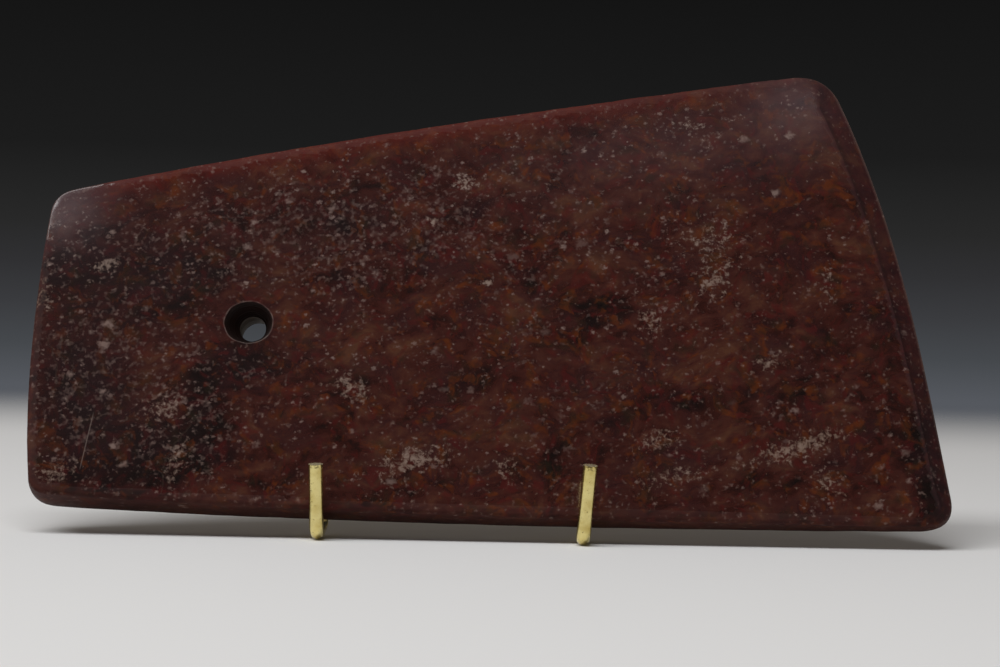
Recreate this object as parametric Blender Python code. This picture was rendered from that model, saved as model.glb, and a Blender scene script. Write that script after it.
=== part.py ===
"""Ritual axe of polished hardstone, leaning on its brass wire stand.

Run with: blender --background --python part.py
Units are metres, +Z is up. The axe's show face looks along -Y, its butt is at -X and
its cutting edge at +X. The origin is on the table, under the middle of the whole.
"""

import math

import bmesh
import bpy
from mathutils import Vector

MM = 0.001
COLLECTION_NAME = "Hardstone ritual axe"
CLEARANCE = 0.3 * MM  # between pieces that touch

# The blade is drawn flat: x from butt to cutting edge, y from the lower side to the
# upper side, z from the back face to the show face. Corners run clockwise.
BUTT_LOWER = (-116.1 * MM, 2.0 * MM)
BUTT_UPPER = (-116.8 * MM, 90.5 * MM)
EDGE_UPPER = (106.5 * MM, 136.0 * MM)
EDGE_LOWER = (139.9 * MM, 0.0 * MM)
CORNERS = (BUTT_LOWER, BUTT_UPPER, EDGE_UPPER, EDGE_LOWER)
CORNER_TRIMS = (5.0 * MM, 5.8 * MM, 9.7 * MM, 9.6 * MM)
# How far each side's two handles stand out from its chord: butt, top, cutting edge, foot.
SIDE_SWELLS = (
    (4.3 * MM, 2.8 * MM),
    (4.2 * MM, 2.2 * MM),
    (9.3 * MM, 3.8 * MM),
    (2.1 * MM, 2.9 * MM),
)
SIDE_STEPS = (10, 20, 24, 20)
CORNER_STEPS = 7
CUTTING_SIDE = 2

BUTT_THICKNESS = 17.4 * MM
EDGE_THICKNESS = 9.2 * MM
FRONT_ARRIS = 1.4 * MM
BACK_ARRIS = 2.4 * MM
BEVEL_UPPER = 7.2 * MM  # width of the ground bevel along the cutting edge
BEVEL_LOWER = 4.2 * MM
EDGE_LAND = 2.4 * MM  # the cutting edge is dull
ROUNDING_STEPS = 3

# The hole is drilled from both faces and its two cones meet at a waist.
HOLE_CENTRE = (-58.0 * MM, 53.0 * MM)
HOLE_DRIFT = 1.2 * MM  # the drill wandered this far towards the cutting edge
MOUTH_WIDTH = 13.2 * MM
MOUTH_HEIGHT = 11.9 * MM
WAIST_DIAMETER = 7.6 * MM
BACK_DIAMETER = 9.6 * MM
WAIST_DEPTH = 6.2 * MM  # below the show face
HOLE_SIDES = 32

# Stand, bent from round brass rod.
ROD_DIAMETER = 4.0 * MM
ROD_SIDES = 12
BEND_RADIUS = 4.0 * MM
BEND_STEPS = 5
LEAN_BACK = math.radians(19.0)
SIDE_SPACING = 73.0 * MM
ARM_SPLAY = math.radians(1.8)
ARM_RISE = {"left": 0.6 * MM, "right": 0.0}  # from prong to heel, in a hand-bent rod
PRONG_HEIGHT = {"left": 21.2 * MM, "right": 22.4 * MM}
PRONG_FORWARD = math.radians(7.1)
PRONG_OUTWARD = {"left": math.radians(1.0), "right": math.radians(4.5)}
PRONG_LIP = 1.08  # the sheared ends are spread a little
LIP_LENGTH = 0.9 * MM
BLADE_FOOT_BACK = 15.3 * MM  # from a prong's foot to the blade's back lower edge
BLADE_SETTLE = 0.2 * MM  # the lower side is slightly bowed, so the blade sits this much higher
UPRIGHT_LENGTH = 84.0 * MM
TOP_BAR_FROM_END = 8.0 * MM
TOP_BAR_OVERHANG = 4.0 * MM
REAR_LEG_REACH = 76.0 * MM  # from a prong's foot to the foot bar

STONE_COLOUR = (0.105, 0.030, 0.020, 1.0)
BRASS_COLOUR = (0.640, 0.470, 0.150, 1.0)


def clear_scene():
    for thing in list(bpy.data.objects):
        bpy.data.objects.remove(thing, do_unlink=True)


def new_collection(name):
    collection = bpy.data.collections.new(name)
    bpy.context.scene.collection.children.link(collection)
    return collection


def principled(name, colour, roughness, metallic):
    material = bpy.data.materials.new(name)
    material.use_nodes = True
    shader = material.node_tree.nodes["Principled BSDF"]
    shader.inputs["Base Color"].default_value = colour
    shader.inputs["Roughness"].default_value = roughness
    shader.inputs["Metallic"].default_value = metallic
    return material


def add_mesh(name, mesh, collection, material=None):
    piece = bpy.data.objects.new(name, mesh)
    collection.objects.link(piece)
    if material:
        mesh.materials.append(material)
    return piece


# ---------------------------------------------------------------- blade


def side_point(side, share):
    """A point on a side of the outline, share 0 to 1 along it."""
    start = Vector(CORNERS[side])
    chord = Vector(CORNERS[(side + 1) % 4]) - start
    outward = Vector((-chord.y, chord.x)).normalized()
    first, second = SIDE_SWELLS[side]
    rest = 1 - share
    swell = 3 * share * rest**2 * first + 3 * share**2 * rest * second
    return start + share * chord + swell * outward


def side_ends(side):
    """The shares at which a side leaves its two rounded corners."""
    length = (Vector(CORNERS[(side + 1) % 4]) - Vector(CORNERS[side])).length
    return CORNER_TRIMS[side] / length, 1 - CORNER_TRIMS[(side + 1) % 4] / length


def corner_handle(side):
    """Where the tangents of a side and of the next side cross."""
    step = 0.01
    leave = side_ends(side)[1]
    arrive = side_ends((side + 1) % 4)[0]
    a = side_point(side, leave)
    along_a = a - side_point(side, leave - step)
    b = side_point((side + 1) % 4, arrive)
    along_b = side_point((side + 1) % 4, arrive + step) - b
    cross = along_a.x * along_b.y - along_a.y * along_b.x
    gap = b - a
    return a + along_a * ((gap.x * along_b.y - gap.y * along_b.x) / cross)


def blade_outline():
    """The outline's points, clockwise, each with its share of the cutting bevel."""
    points = []
    for side in range(4):
        first, last = side_ends(side)
        sharp = 1.0 if side == CUTTING_SIDE else 0.0
        for i in range(SIDE_STEPS[side] + 1):
            share = first + (last - first) * i / SIDE_STEPS[side]
            points.append((side_point(side, share), sharp))
        start = side_point(side, last)
        following = (side + 1) % 4
        end = side_point(following, side_ends(following)[0])
        handle = corner_handle(side)
        next_sharp = 1.0 if following == CUTTING_SIDE else 0.0
        for i in range(1, CORNER_STEPS):
            t = i / CORNER_STEPS
            place = (1 - t) ** 2 * start + 2 * t * (1 - t) * handle + t**2 * end
            points.append((place, sharp + (next_sharp - sharp) * t))
    return points


def thickness_at(x):
    share = (x - BUTT_LOWER[0]) / (EDGE_LOWER[0] - BUTT_LOWER[0])
    return BUTT_THICKNESS + (EDGE_THICKNESS - BUTT_THICKNESS) * share


def bevel_width_at(y):
    share = min(max(y / EDGE_UPPER[1], 0.0), 1.0)
    return BEVEL_LOWER + (BEVEL_UPPER - BEVEL_LOWER) * share


def blade_ring(outline, turn, arris, from_front):
    """One ring of the loft: turn 0 lies on a face, turn 1 on the rim."""
    rounded_in = arris * (1 - math.sin(turn * math.pi / 2))
    rounded_down = arris * (1 - math.cos(turn * math.pi / 2))
    ring = []
    count = len(outline)
    for i, (place, sharp) in enumerate(outline):
        along = outline[(i + 1) % count][0] - outline[i - 1][0]
        outward = Vector((-along.y, along.x)).normalized()
        ground_in = bevel_width_at(place.y) * (1 - turn)
        inset = rounded_in + (ground_in - rounded_in) * sharp
        flat = place - outward * inset
        thickness = thickness_at(flat.x)
        ground_down = (thickness - EDGE_LAND) / 2 * turn
        drop = rounded_down + (ground_down - rounded_down) * sharp
        height = thickness - drop if from_front else drop
        ring.append(Vector((flat.x, flat.y, height)))
    return ring


def blade_mesh():
    """A loft through rings that run from the show face over the rim to the back face."""
    outline = blade_outline()
    turns = [i / ROUNDING_STEPS for i in range(ROUNDING_STEPS + 1)]
    rings = [blade_ring(outline, turn, FRONT_ARRIS, True) for turn in turns]
    rings += [blade_ring(outline, turn, BACK_ARRIS, False) for turn in reversed(turns)]
    shape = bmesh.new()
    levels = [[shape.verts.new(point) for point in ring] for ring in rings]
    count = len(outline)
    for upper, lower in zip(levels, levels[1:]):
        for i in range(count):
            j = (i + 1) % count
            shape.faces.new((upper[i], upper[j], lower[j], lower[i]))
    shape.faces.new(levels[0])
    shape.faces.new(levels[-1])
    bmesh.ops.recalc_face_normals(shape, faces=shape.faces)
    mesh = bpy.data.meshes.new("axe_blade")
    shape.to_mesh(mesh)
    shape.free()
    return mesh


def cone_cutter(name, near_size, far_size, near_depth, far_depth, collection):
    """An oval cone along the drilled hole, between two heights above the back face."""
    shape = bmesh.new()
    bmesh.ops.create_cone(
        shape,
        cap_ends=True,
        segments=HOLE_SIDES,
        radius1=0.5,
        radius2=0.5,
        depth=1.0,
    )
    middle_height = thickness_at(HOLE_CENTRE[0]) / 2
    for vertex in shape.verts:
        near = vertex.co.z < 0
        width, height = near_size if near else far_size
        level = near_depth if near else far_depth
        drift = HOLE_DRIFT * (middle_height - level) / (2 * middle_height)
        vertex.co.x = HOLE_CENTRE[0] + drift + vertex.co.x * width
        vertex.co.y = HOLE_CENTRE[1] + vertex.co.y * height
        vertex.co.z = level
    bmesh.ops.recalc_face_normals(shape, faces=shape.faces)
    mesh = bpy.data.meshes.new(name)
    shape.to_mesh(mesh)
    shape.free()
    cutter = add_mesh(name, mesh, collection)
    cutter.hide_render = True
    cutter.display_type = "WIRE"
    return cutter


def hole_cutters(collection):
    """The two drillings, each run a little past its face and past the waist."""
    past = 1.0 * MM
    thickness = thickness_at(HOLE_CENTRE[0])
    waist_level = thickness - WAIST_DEPTH
    front_spread_x = (MOUTH_WIDTH - WAIST_DIAMETER) / WAIST_DEPTH
    front_spread_y = (MOUTH_HEIGHT - WAIST_DIAMETER) / WAIST_DEPTH
    back_spread = (BACK_DIAMETER - WAIST_DIAMETER) / waist_level
    front = cone_cutter(
        "front_drilling",
        (WAIST_DIAMETER - past * front_spread_x, WAIST_DIAMETER - past * front_spread_y),
        (MOUTH_WIDTH + past * front_spread_x, MOUTH_HEIGHT + past * front_spread_y),
        waist_level - past,
        thickness + past,
        collection,
    )
    back_mouth = BACK_DIAMETER + past * back_spread
    back_tip = WAIST_DIAMETER - past * back_spread
    back = cone_cutter(
        "back_drilling",
        (back_mouth, back_mouth),
        (back_tip, back_tip),
        -past,
        waist_level + past,
        collection,
    )
    return front, back


def make_blade(collection, cutters, material):
    blade = add_mesh("axe_blade", blade_mesh(), collection, material)
    drillings = hole_cutters(cutters)
    for drilling in drillings:
        cut = blade.modifiers.new("Hole", "BOOLEAN")
        cut.operation = "DIFFERENCE"
        cut.solver = "EXACT"
        cut.object = drilling
    blade.data.shade_smooth()
    blade.data.set_sharp_from_angle(angle=math.radians(35))
    for piece in (blade, *drillings):
        piece.rotation_euler.x = math.pi / 2 - LEAN_BACK
        piece.location = blade_foot()
    return blade


# ---------------------------------------------------------------- stand


def rod_radius():
    return ROD_DIAMETER / 2


def blade_foot():
    """The blade's back lower edge, midway between the prongs."""
    return Vector((0, BLADE_FOOT_BACK, ROD_DIAMETER + CLEARANCE + BLADE_SETTLE))


def up_the_lean():
    return Vector((0, math.sin(LEAN_BACK), math.cos(LEAN_BACK)))


def out_of_the_face():
    return Vector((0, -math.cos(LEAN_BACK), math.sin(LEAN_BACK)))


def bent_path(corners, radius, steps):
    """The corners' polyline with each inner corner turned into an arc."""
    path = [corners[0]]
    for before, corner, after in zip(corners, corners[1:], corners[2:]):
        towards = (before - corner).normalized()
        away = (after - corner).normalized()
        half_angle = towards.angle(away) / 2
        trim = radius / math.tan(half_angle)
        bisector = (towards + away).normalized()
        centre = corner + bisector * (radius / math.sin(half_angle))
        start = corner + towards * trim - centre
        turn = math.pi - 2 * half_angle
        axis = start.cross(corner + away * trim - centre).normalized()
        across = axis.cross(start)
        for i in range(steps + 1):
            angle = turn * i / steps
            path.append(centre + start * math.cos(angle) + across * math.sin(angle))
    path.append(corners[-1])
    return path


def rod(name, path, collection, material, radii=None):
    """A round rod whose underside is a flat facet, measured across its flats."""
    curve = bpy.data.curves.new(name, "CURVE")
    curve.dimensions = "3D"
    curve.twist_mode = "MINIMUM"
    curve.bevel_depth = rod_radius() / math.cos(math.pi / ROD_SIDES)
    curve.bevel_resolution = ROD_SIDES // 2 - 2
    curve.use_fill_caps = True
    spline = curve.splines.new("POLY")
    spline.points.add(len(path) - 1)
    for i, (point, place) in enumerate(zip(spline.points, path)):
        point.co = (*place, 1)
        point.tilt = math.pi / ROD_SIDES
        point.radius = radii[i] if radii else 1.0
    curve.materials.append(material)
    piece = bpy.data.objects.new(name, curve)
    collection.objects.link(piece)
    return piece


def lay_facet_down(piece, place):
    """Rolls a bent rod about its centre line until a facet faces down at a given place."""
    graph = bpy.context.evaluated_depsgraph_get()
    evaluated = piece.evaluated_get(graph)
    spokes = [vertex.co - place for vertex in evaluated.to_mesh().vertices]
    evaluated.to_mesh_clear()
    spokes = [spoke for spoke in spokes if abs(spoke.y) < 0.1 * ROD_DIAMETER]
    facet = 2 * math.pi / ROD_SIDES
    turned = math.atan2(spokes[0].x, -spokes[0].z) % facet
    for point in piece.data.splines[0].points:
        point.tilt += turned - facet / 2


def side_rod_corners(side):
    """Prong end, prong foot, heel and upright end of one side rod's centre line."""
    sign = -1 if side == "left" else 1
    foot = Vector((sign * SIDE_SPACING / 2, 0, rod_radius()))
    rise = PRONG_HEIGHT[side] - rod_radius()
    outward = sign * rise * math.tan(PRONG_OUTWARD[side])
    prong_end = foot + Vector((outward, -rise * math.tan(PRONG_FORWARD), rise))
    behind = blade_foot() - out_of_the_face() * (rod_radius() + CLEARANCE)
    down_to_arm = (behind.z - rod_radius() - ARM_RISE[side]) / up_the_lean().z
    heel = behind - up_the_lean() * down_to_arm
    heel.x = foot.x + sign * heel.y * math.tan(ARM_SPLAY)
    upright_end = heel + up_the_lean() * UPRIGHT_LENGTH
    return prong_end, foot, heel, upright_end


def make_side_rod(side, collection, material):
    """Prong, arm along the table and upright behind the blade, bent from one rod."""
    corners = side_rod_corners(side)
    path = bent_path(corners, BEND_RADIUS, BEND_STEPS)
    middle = BEND_STEPS + 2
    arm_middle = (path[middle - 1] + path[middle]) / 2
    path.insert(middle, arm_middle)
    down = (corners[1] - corners[0]).normalized()
    path[1:1] = [path[0] + down * LIP_LENGTH * share for share in (0.5, 1.0)]
    radii = [PRONG_LIP, PRONG_LIP] + [1.0] * (len(path) - 2)
    piece = rod(f"stand_side_rod_{side}", path, collection, material, radii)
    lay_facet_down(piece, arm_middle)
    return piece


def top_bar_centre():
    upright_end = side_rod_corners("right")[3]
    place = upright_end - up_the_lean() * TOP_BAR_FROM_END
    place -= out_of_the_face() * (ROD_DIAMETER + CLEARANCE)
    place.x = 0
    return place


def make_bar(name, centre, length, collection, material):
    half = Vector((length / 2, 0, 0))
    return rod(name, [centre - half, centre + half], collection, material)


def make_rear_leg(side, collection, material):
    """A straight leg from the top bar down to the foot bar."""
    sign = -1 if side == "left" else 1
    across = sign * abs(side_rod_corners(side)[2].x)
    top = top_bar_centre() + Vector((across, 0, 0))
    foot = Vector((across, REAR_LEG_REACH, rod_radius()))
    along = (foot - top).normalized()
    gap = ROD_DIAMETER / 2 / math.cos(math.pi / ROD_SIDES) + CLEARANCE
    path = [top + along * gap, foot - along * gap]
    return rod(f"stand_rear_leg_{side}", path, collection, material)


def make_stand(collection, material):
    pieces = [make_side_rod(side, collection, material) for side in ("left", "right")]
    heel = side_rod_corners("right")[2]
    width = 2 * (heel.x + TOP_BAR_OVERHANG)
    pieces.append(make_bar("stand_top_bar", top_bar_centre(), width, collection, material))
    for side in ("left", "right"):
        pieces.append(make_rear_leg(side, collection, material))
    foot_bar_centre = Vector((0, REAR_LEG_REACH, rod_radius()))
    pieces.append(make_bar("stand_foot_bar", foot_bar_centre, width, collection, material))
    return pieces


def centre_on_origin(pieces, helpers):
    """Moves everything sideways so that the origin is under the middle of the whole."""
    bpy.context.view_layer.update()
    graph = bpy.context.evaluated_depsgraph_get()
    xs, ys = [], []
    for piece in pieces:
        evaluated = piece.evaluated_get(graph)
        mesh = evaluated.to_mesh()
        for vertex in mesh.vertices:
            place = evaluated.matrix_world @ vertex.co
            xs.append(place.x)
            ys.append(place.y)
        evaluated.to_mesh_clear()
    base = bpy.data.objects.new("display", None)
    bpy.context.scene.collection.objects.link(base)
    for thing in (*pieces, *helpers):
        thing.parent = base
    base.location = (-(min(xs) + max(xs)) / 2, -(min(ys) + max(ys)) / 2, 0)


def main():
    clear_scene()
    parts = new_collection(COLLECTION_NAME)
    cutters = new_collection("Cutters")
    stone = principled("polished hardstone", STONE_COLOUR, 0.28, 0.0)
    brass = principled("drawn brass rod", BRASS_COLOUR, 0.22, 1.0)
    blade = make_blade(parts, cutters, stone)
    stand = make_stand(parts, brass)
    centre_on_origin([blade, *stand], list(cutters.objects))


main()
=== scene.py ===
"""Ritual axe of polished hardstone, leaning on its brass wire stand."""

import logging
import math
from dataclasses import dataclass
from enum import Enum
from typing import Any

import bmesh
import bpy
import numpy as np
from mathutils import Matrix, Vector, noise
from mathutils.geometry import delaunay_2d_cdt


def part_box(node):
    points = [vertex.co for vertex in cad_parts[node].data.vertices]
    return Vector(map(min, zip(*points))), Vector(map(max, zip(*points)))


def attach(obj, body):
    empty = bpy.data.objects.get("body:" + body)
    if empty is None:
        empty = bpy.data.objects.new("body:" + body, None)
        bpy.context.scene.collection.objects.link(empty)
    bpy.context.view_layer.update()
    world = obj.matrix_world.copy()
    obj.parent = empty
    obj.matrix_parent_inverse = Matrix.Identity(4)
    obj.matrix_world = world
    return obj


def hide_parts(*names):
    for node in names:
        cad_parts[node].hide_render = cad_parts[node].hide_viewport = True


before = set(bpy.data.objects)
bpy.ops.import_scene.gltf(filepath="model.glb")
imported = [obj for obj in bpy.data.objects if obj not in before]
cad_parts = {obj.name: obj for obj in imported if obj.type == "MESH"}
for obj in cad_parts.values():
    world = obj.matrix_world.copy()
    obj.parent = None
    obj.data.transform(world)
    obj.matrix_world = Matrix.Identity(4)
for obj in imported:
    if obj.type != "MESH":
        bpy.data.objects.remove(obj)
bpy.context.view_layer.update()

LOG = logging.getLogger("ritual_axe")
MM = 0.001
LEAN_BACK = math.radians(19.0)
UP_THE_LEAN = Vector((0, math.sin(LEAN_BACK), math.cos(LEAN_BACK)))
OUT_OF_THE_FACE = Vector((0, -math.cos(LEAN_BACK), math.sin(LEAN_BACK)))


class Side(Enum):
    """The two sides of the stand, seen from the show face."""

    LEFT = -1
    RIGHT = 1


class Zone(Enum):
    """Masks held on the stone's vertices, which its finish reads."""

    WARM = "warm"
    DARK = "dark"
    SPECKLE = "speckle"
    FROST = "frost"
    CRACK = "crack"
    SCRATCH = "scratch"
    ARRIS = "arris"
    WALL = "wall"
    FACET = "facet"
    GROUND = "ground"
    LIP = "lip"
    WORN = "worn"
    PLUM = "plum"
    CONE = "cone"
    BORE = "bore"


# ------------------------------------------------------------------ helpers


def linear(hex_colour: str) -> tuple[float, float, float, float]:
    """Turns an sRGB hex colour to linear values.

    Args:
        hex_colour: Six hex digits after a hash.

    Returns:
        Red, green, blue and an alpha of 1.
    """
    channels = [int(hex_colour[i : i + 2], 16) / 255 for i in (1, 3, 5)]
    bent = [c / 12.92 if c <= 0.04045 else ((c + 0.055) / 1.055) ** 2.4 for c in channels]
    return bent[0], bent[1], bent[2], 1.0


def add_node(
    tree: bpy.types.NodeTree,
    kind: str,
    links: dict[Any, Any] | None = None,
    out: int | str = 0,
    stops: list[tuple[float, str]] | None = None,
    **settings: Any,
) -> Any:
    """Adds a node with its settings and links.

    Args:
        tree: The node tree.
        kind: The node's type name.
        links: Each input's name or index with a socket to link or a value to set.
        out: Name or index of the output to give back.
        stops: A colour ramp's positions and hex colours.
        **settings: Properties of the node.

    Returns:
        The chosen output socket, or the node itself if it has no outputs.
    """
    node = tree.nodes.new(kind)
    for name, value in settings.items():
        setattr(node, name, value)
    for key, value in (links or {}).items():
        if isinstance(value, bpy.types.NodeSocket):
            tree.links.new(value, node.inputs[key])
        else:
            node.inputs[key].default_value = value
    for i, (position, colour) in enumerate(stops or []):
        elements = node.color_ramp.elements
        element = elements[i] if i < 2 else elements.new(position)
        element.position = position
        element.color = linear(colour)
    return node.outputs[out] if len(node.outputs) else node


def geometry_tree(name: str, inputs: dict[str, Any]) -> bpy.types.NodeTree:
    """Starts a Geometry Nodes tree with named inputs.

    Args:
        name: The tree's name.
        inputs: Each input's name and its default, which sets its type.

    Returns:
        The tree, holding only its group input.
    """
    tree = bpy.data.node_groups.new(name, "GeometryNodeTree")
    tree.interface.new_socket("Geometry", in_out="INPUT", socket_type="NodeSocketGeometry")
    tree.interface.new_socket("Geometry", in_out="OUTPUT", socket_type="NodeSocketGeometry")
    kinds = {int: "NodeSocketInt", float: "NodeSocketFloat", type(None): "NodeSocketMaterial"}
    for label, default in inputs.items():
        socket = tree.interface.new_socket(label, in_out="INPUT", socket_type=kinds[type(default)])
        if default is not None:
            socket.default_value = default
    tree.nodes.new("NodeGroupInput")
    return tree


def grown_mesh(
    source: bpy.types.Object,
    tree: bpy.types.NodeTree,
    values: dict[str, Any],
    name: str,
) -> bpy.types.Mesh:
    """Runs a Geometry Nodes tree on an object and keeps the result as a plain mesh.

    Args:
        source: The object that the tree grows from. It is removed.
        tree: The tree.
        values: Input names and their values.
        name: The new mesh's name.

    Returns:
        The finished mesh.
    """
    modifier = source.modifiers.new("grow", "NODES")
    modifier.node_group = tree
    sockets = {s.name: s.identifier for s in tree.interface.items_tree if s.in_out == "INPUT"}
    for label, value in values.items():
        modifier[sockets[label]] = value
    bpy.context.view_layer.update()
    graph = bpy.context.evaluated_depsgraph_get()
    mesh = bpy.data.meshes.new_from_object(source.evaluated_get(graph), depsgraph=graph)
    mesh.name = name
    source.modifiers.remove(modifier)
    bpy.data.objects.remove(source, do_unlink=True)
    return mesh


def link_piece(name: str, data: Any) -> bpy.types.Object:
    """Puts a mesh or curve in the scene at the origin."""
    piece = bpy.data.objects.new(name, data)
    bpy.context.scene.collection.objects.link(piece)
    return piece


def finished_piece(
    name: str, mesh: bpy.types.Mesh, node: str | None = None
) -> bpy.types.Object:
    """Puts a finished mesh in the scene as a piece of the one body.

    Args:
        name: The piece's name.
        mesh: Its mesh.
        node: The CAD node that it stands for, if any.

    Returns:
        The piece.
    """
    piece = link_piece(name, mesh)
    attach(piece, "root")
    if node:
        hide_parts(node)
    return piece


def fresh_material(name: str) -> tuple[bpy.types.Material, bpy.types.NodeTree, bpy.types.Node]:
    """Starts a material.

    Args:
        name: What the real surface is.

    Returns:
        The material, its node tree and its shader.
    """
    made = bpy.data.materials.new(name)
    made.use_nodes = True
    return made, made.node_tree, made.node_tree.nodes["Principled BSDF"]


# ------------------------------------------------------------------ finishes


class Grade(Enum):
    """How far the stone was taken: name, lowest and highest roughness, specular level."""

    POLISHED = ("polished red hardstone", 0.11, 0.17, 0.5)
    GROUND = ("ground red hardstone, left unpolished", 0.5, 0.62, 0.1)


@dataclass(frozen=True)
class Grains:
    """One size of the pale grains scattered through the stone.

    Attributes:
        spacing_mm: Distance between neighbouring grain centres.
        radius_mm: Radius of the largest grains.
        ragged_mm: How far their outline wanders.
        shift_mm: Moves this size's pattern off the others'.
        clearest: How pale the palest of them are, 0 to 1.
    """

    spacing_mm: float
    radius_mm: float
    ragged_mm: float
    shift_mm: float
    clearest: float


@dataclass(frozen=True)
class Cloud:
    """Clouds of one colour in the stone's ground.

    Attributes:
        colour: Their colour, as hex.
        most: How opaque they are at their middle.
        spacing_mm: Distance from cloud to cloud.
        starts: Noise level at which they come in.
        full: Noise level from which they are full.
        detail: How finely their outline breaks up.
        roughness: How strong its finest parts are.
        distortion: How far it curls.
    """

    colour: str
    most: float
    spacing_mm: float
    starts: float
    full: float
    detail: float
    roughness: float = 0.5
    distortion: float = 0.0


PLUM_CLOUDS = Cloud("#2c1516", 0.7, 8.0, 0.46, 0.66, 4.0, 0.6, 0.4)
RUST_CLOUDS = Cloud("#5e2c0d", 0.55, 5.0, 0.56, 0.68, 3.0, 0.6)
CRIMSON_CLOUDS = Cloud("#4c1412", 0.42, 4.1, 0.55, 0.68, 2.0, distortion=0.5)
OLIVE_CLOUDS = Cloud("#241c12", 0.5, 5.0, 0.54, 0.7, 3.0, 0.55)


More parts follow.
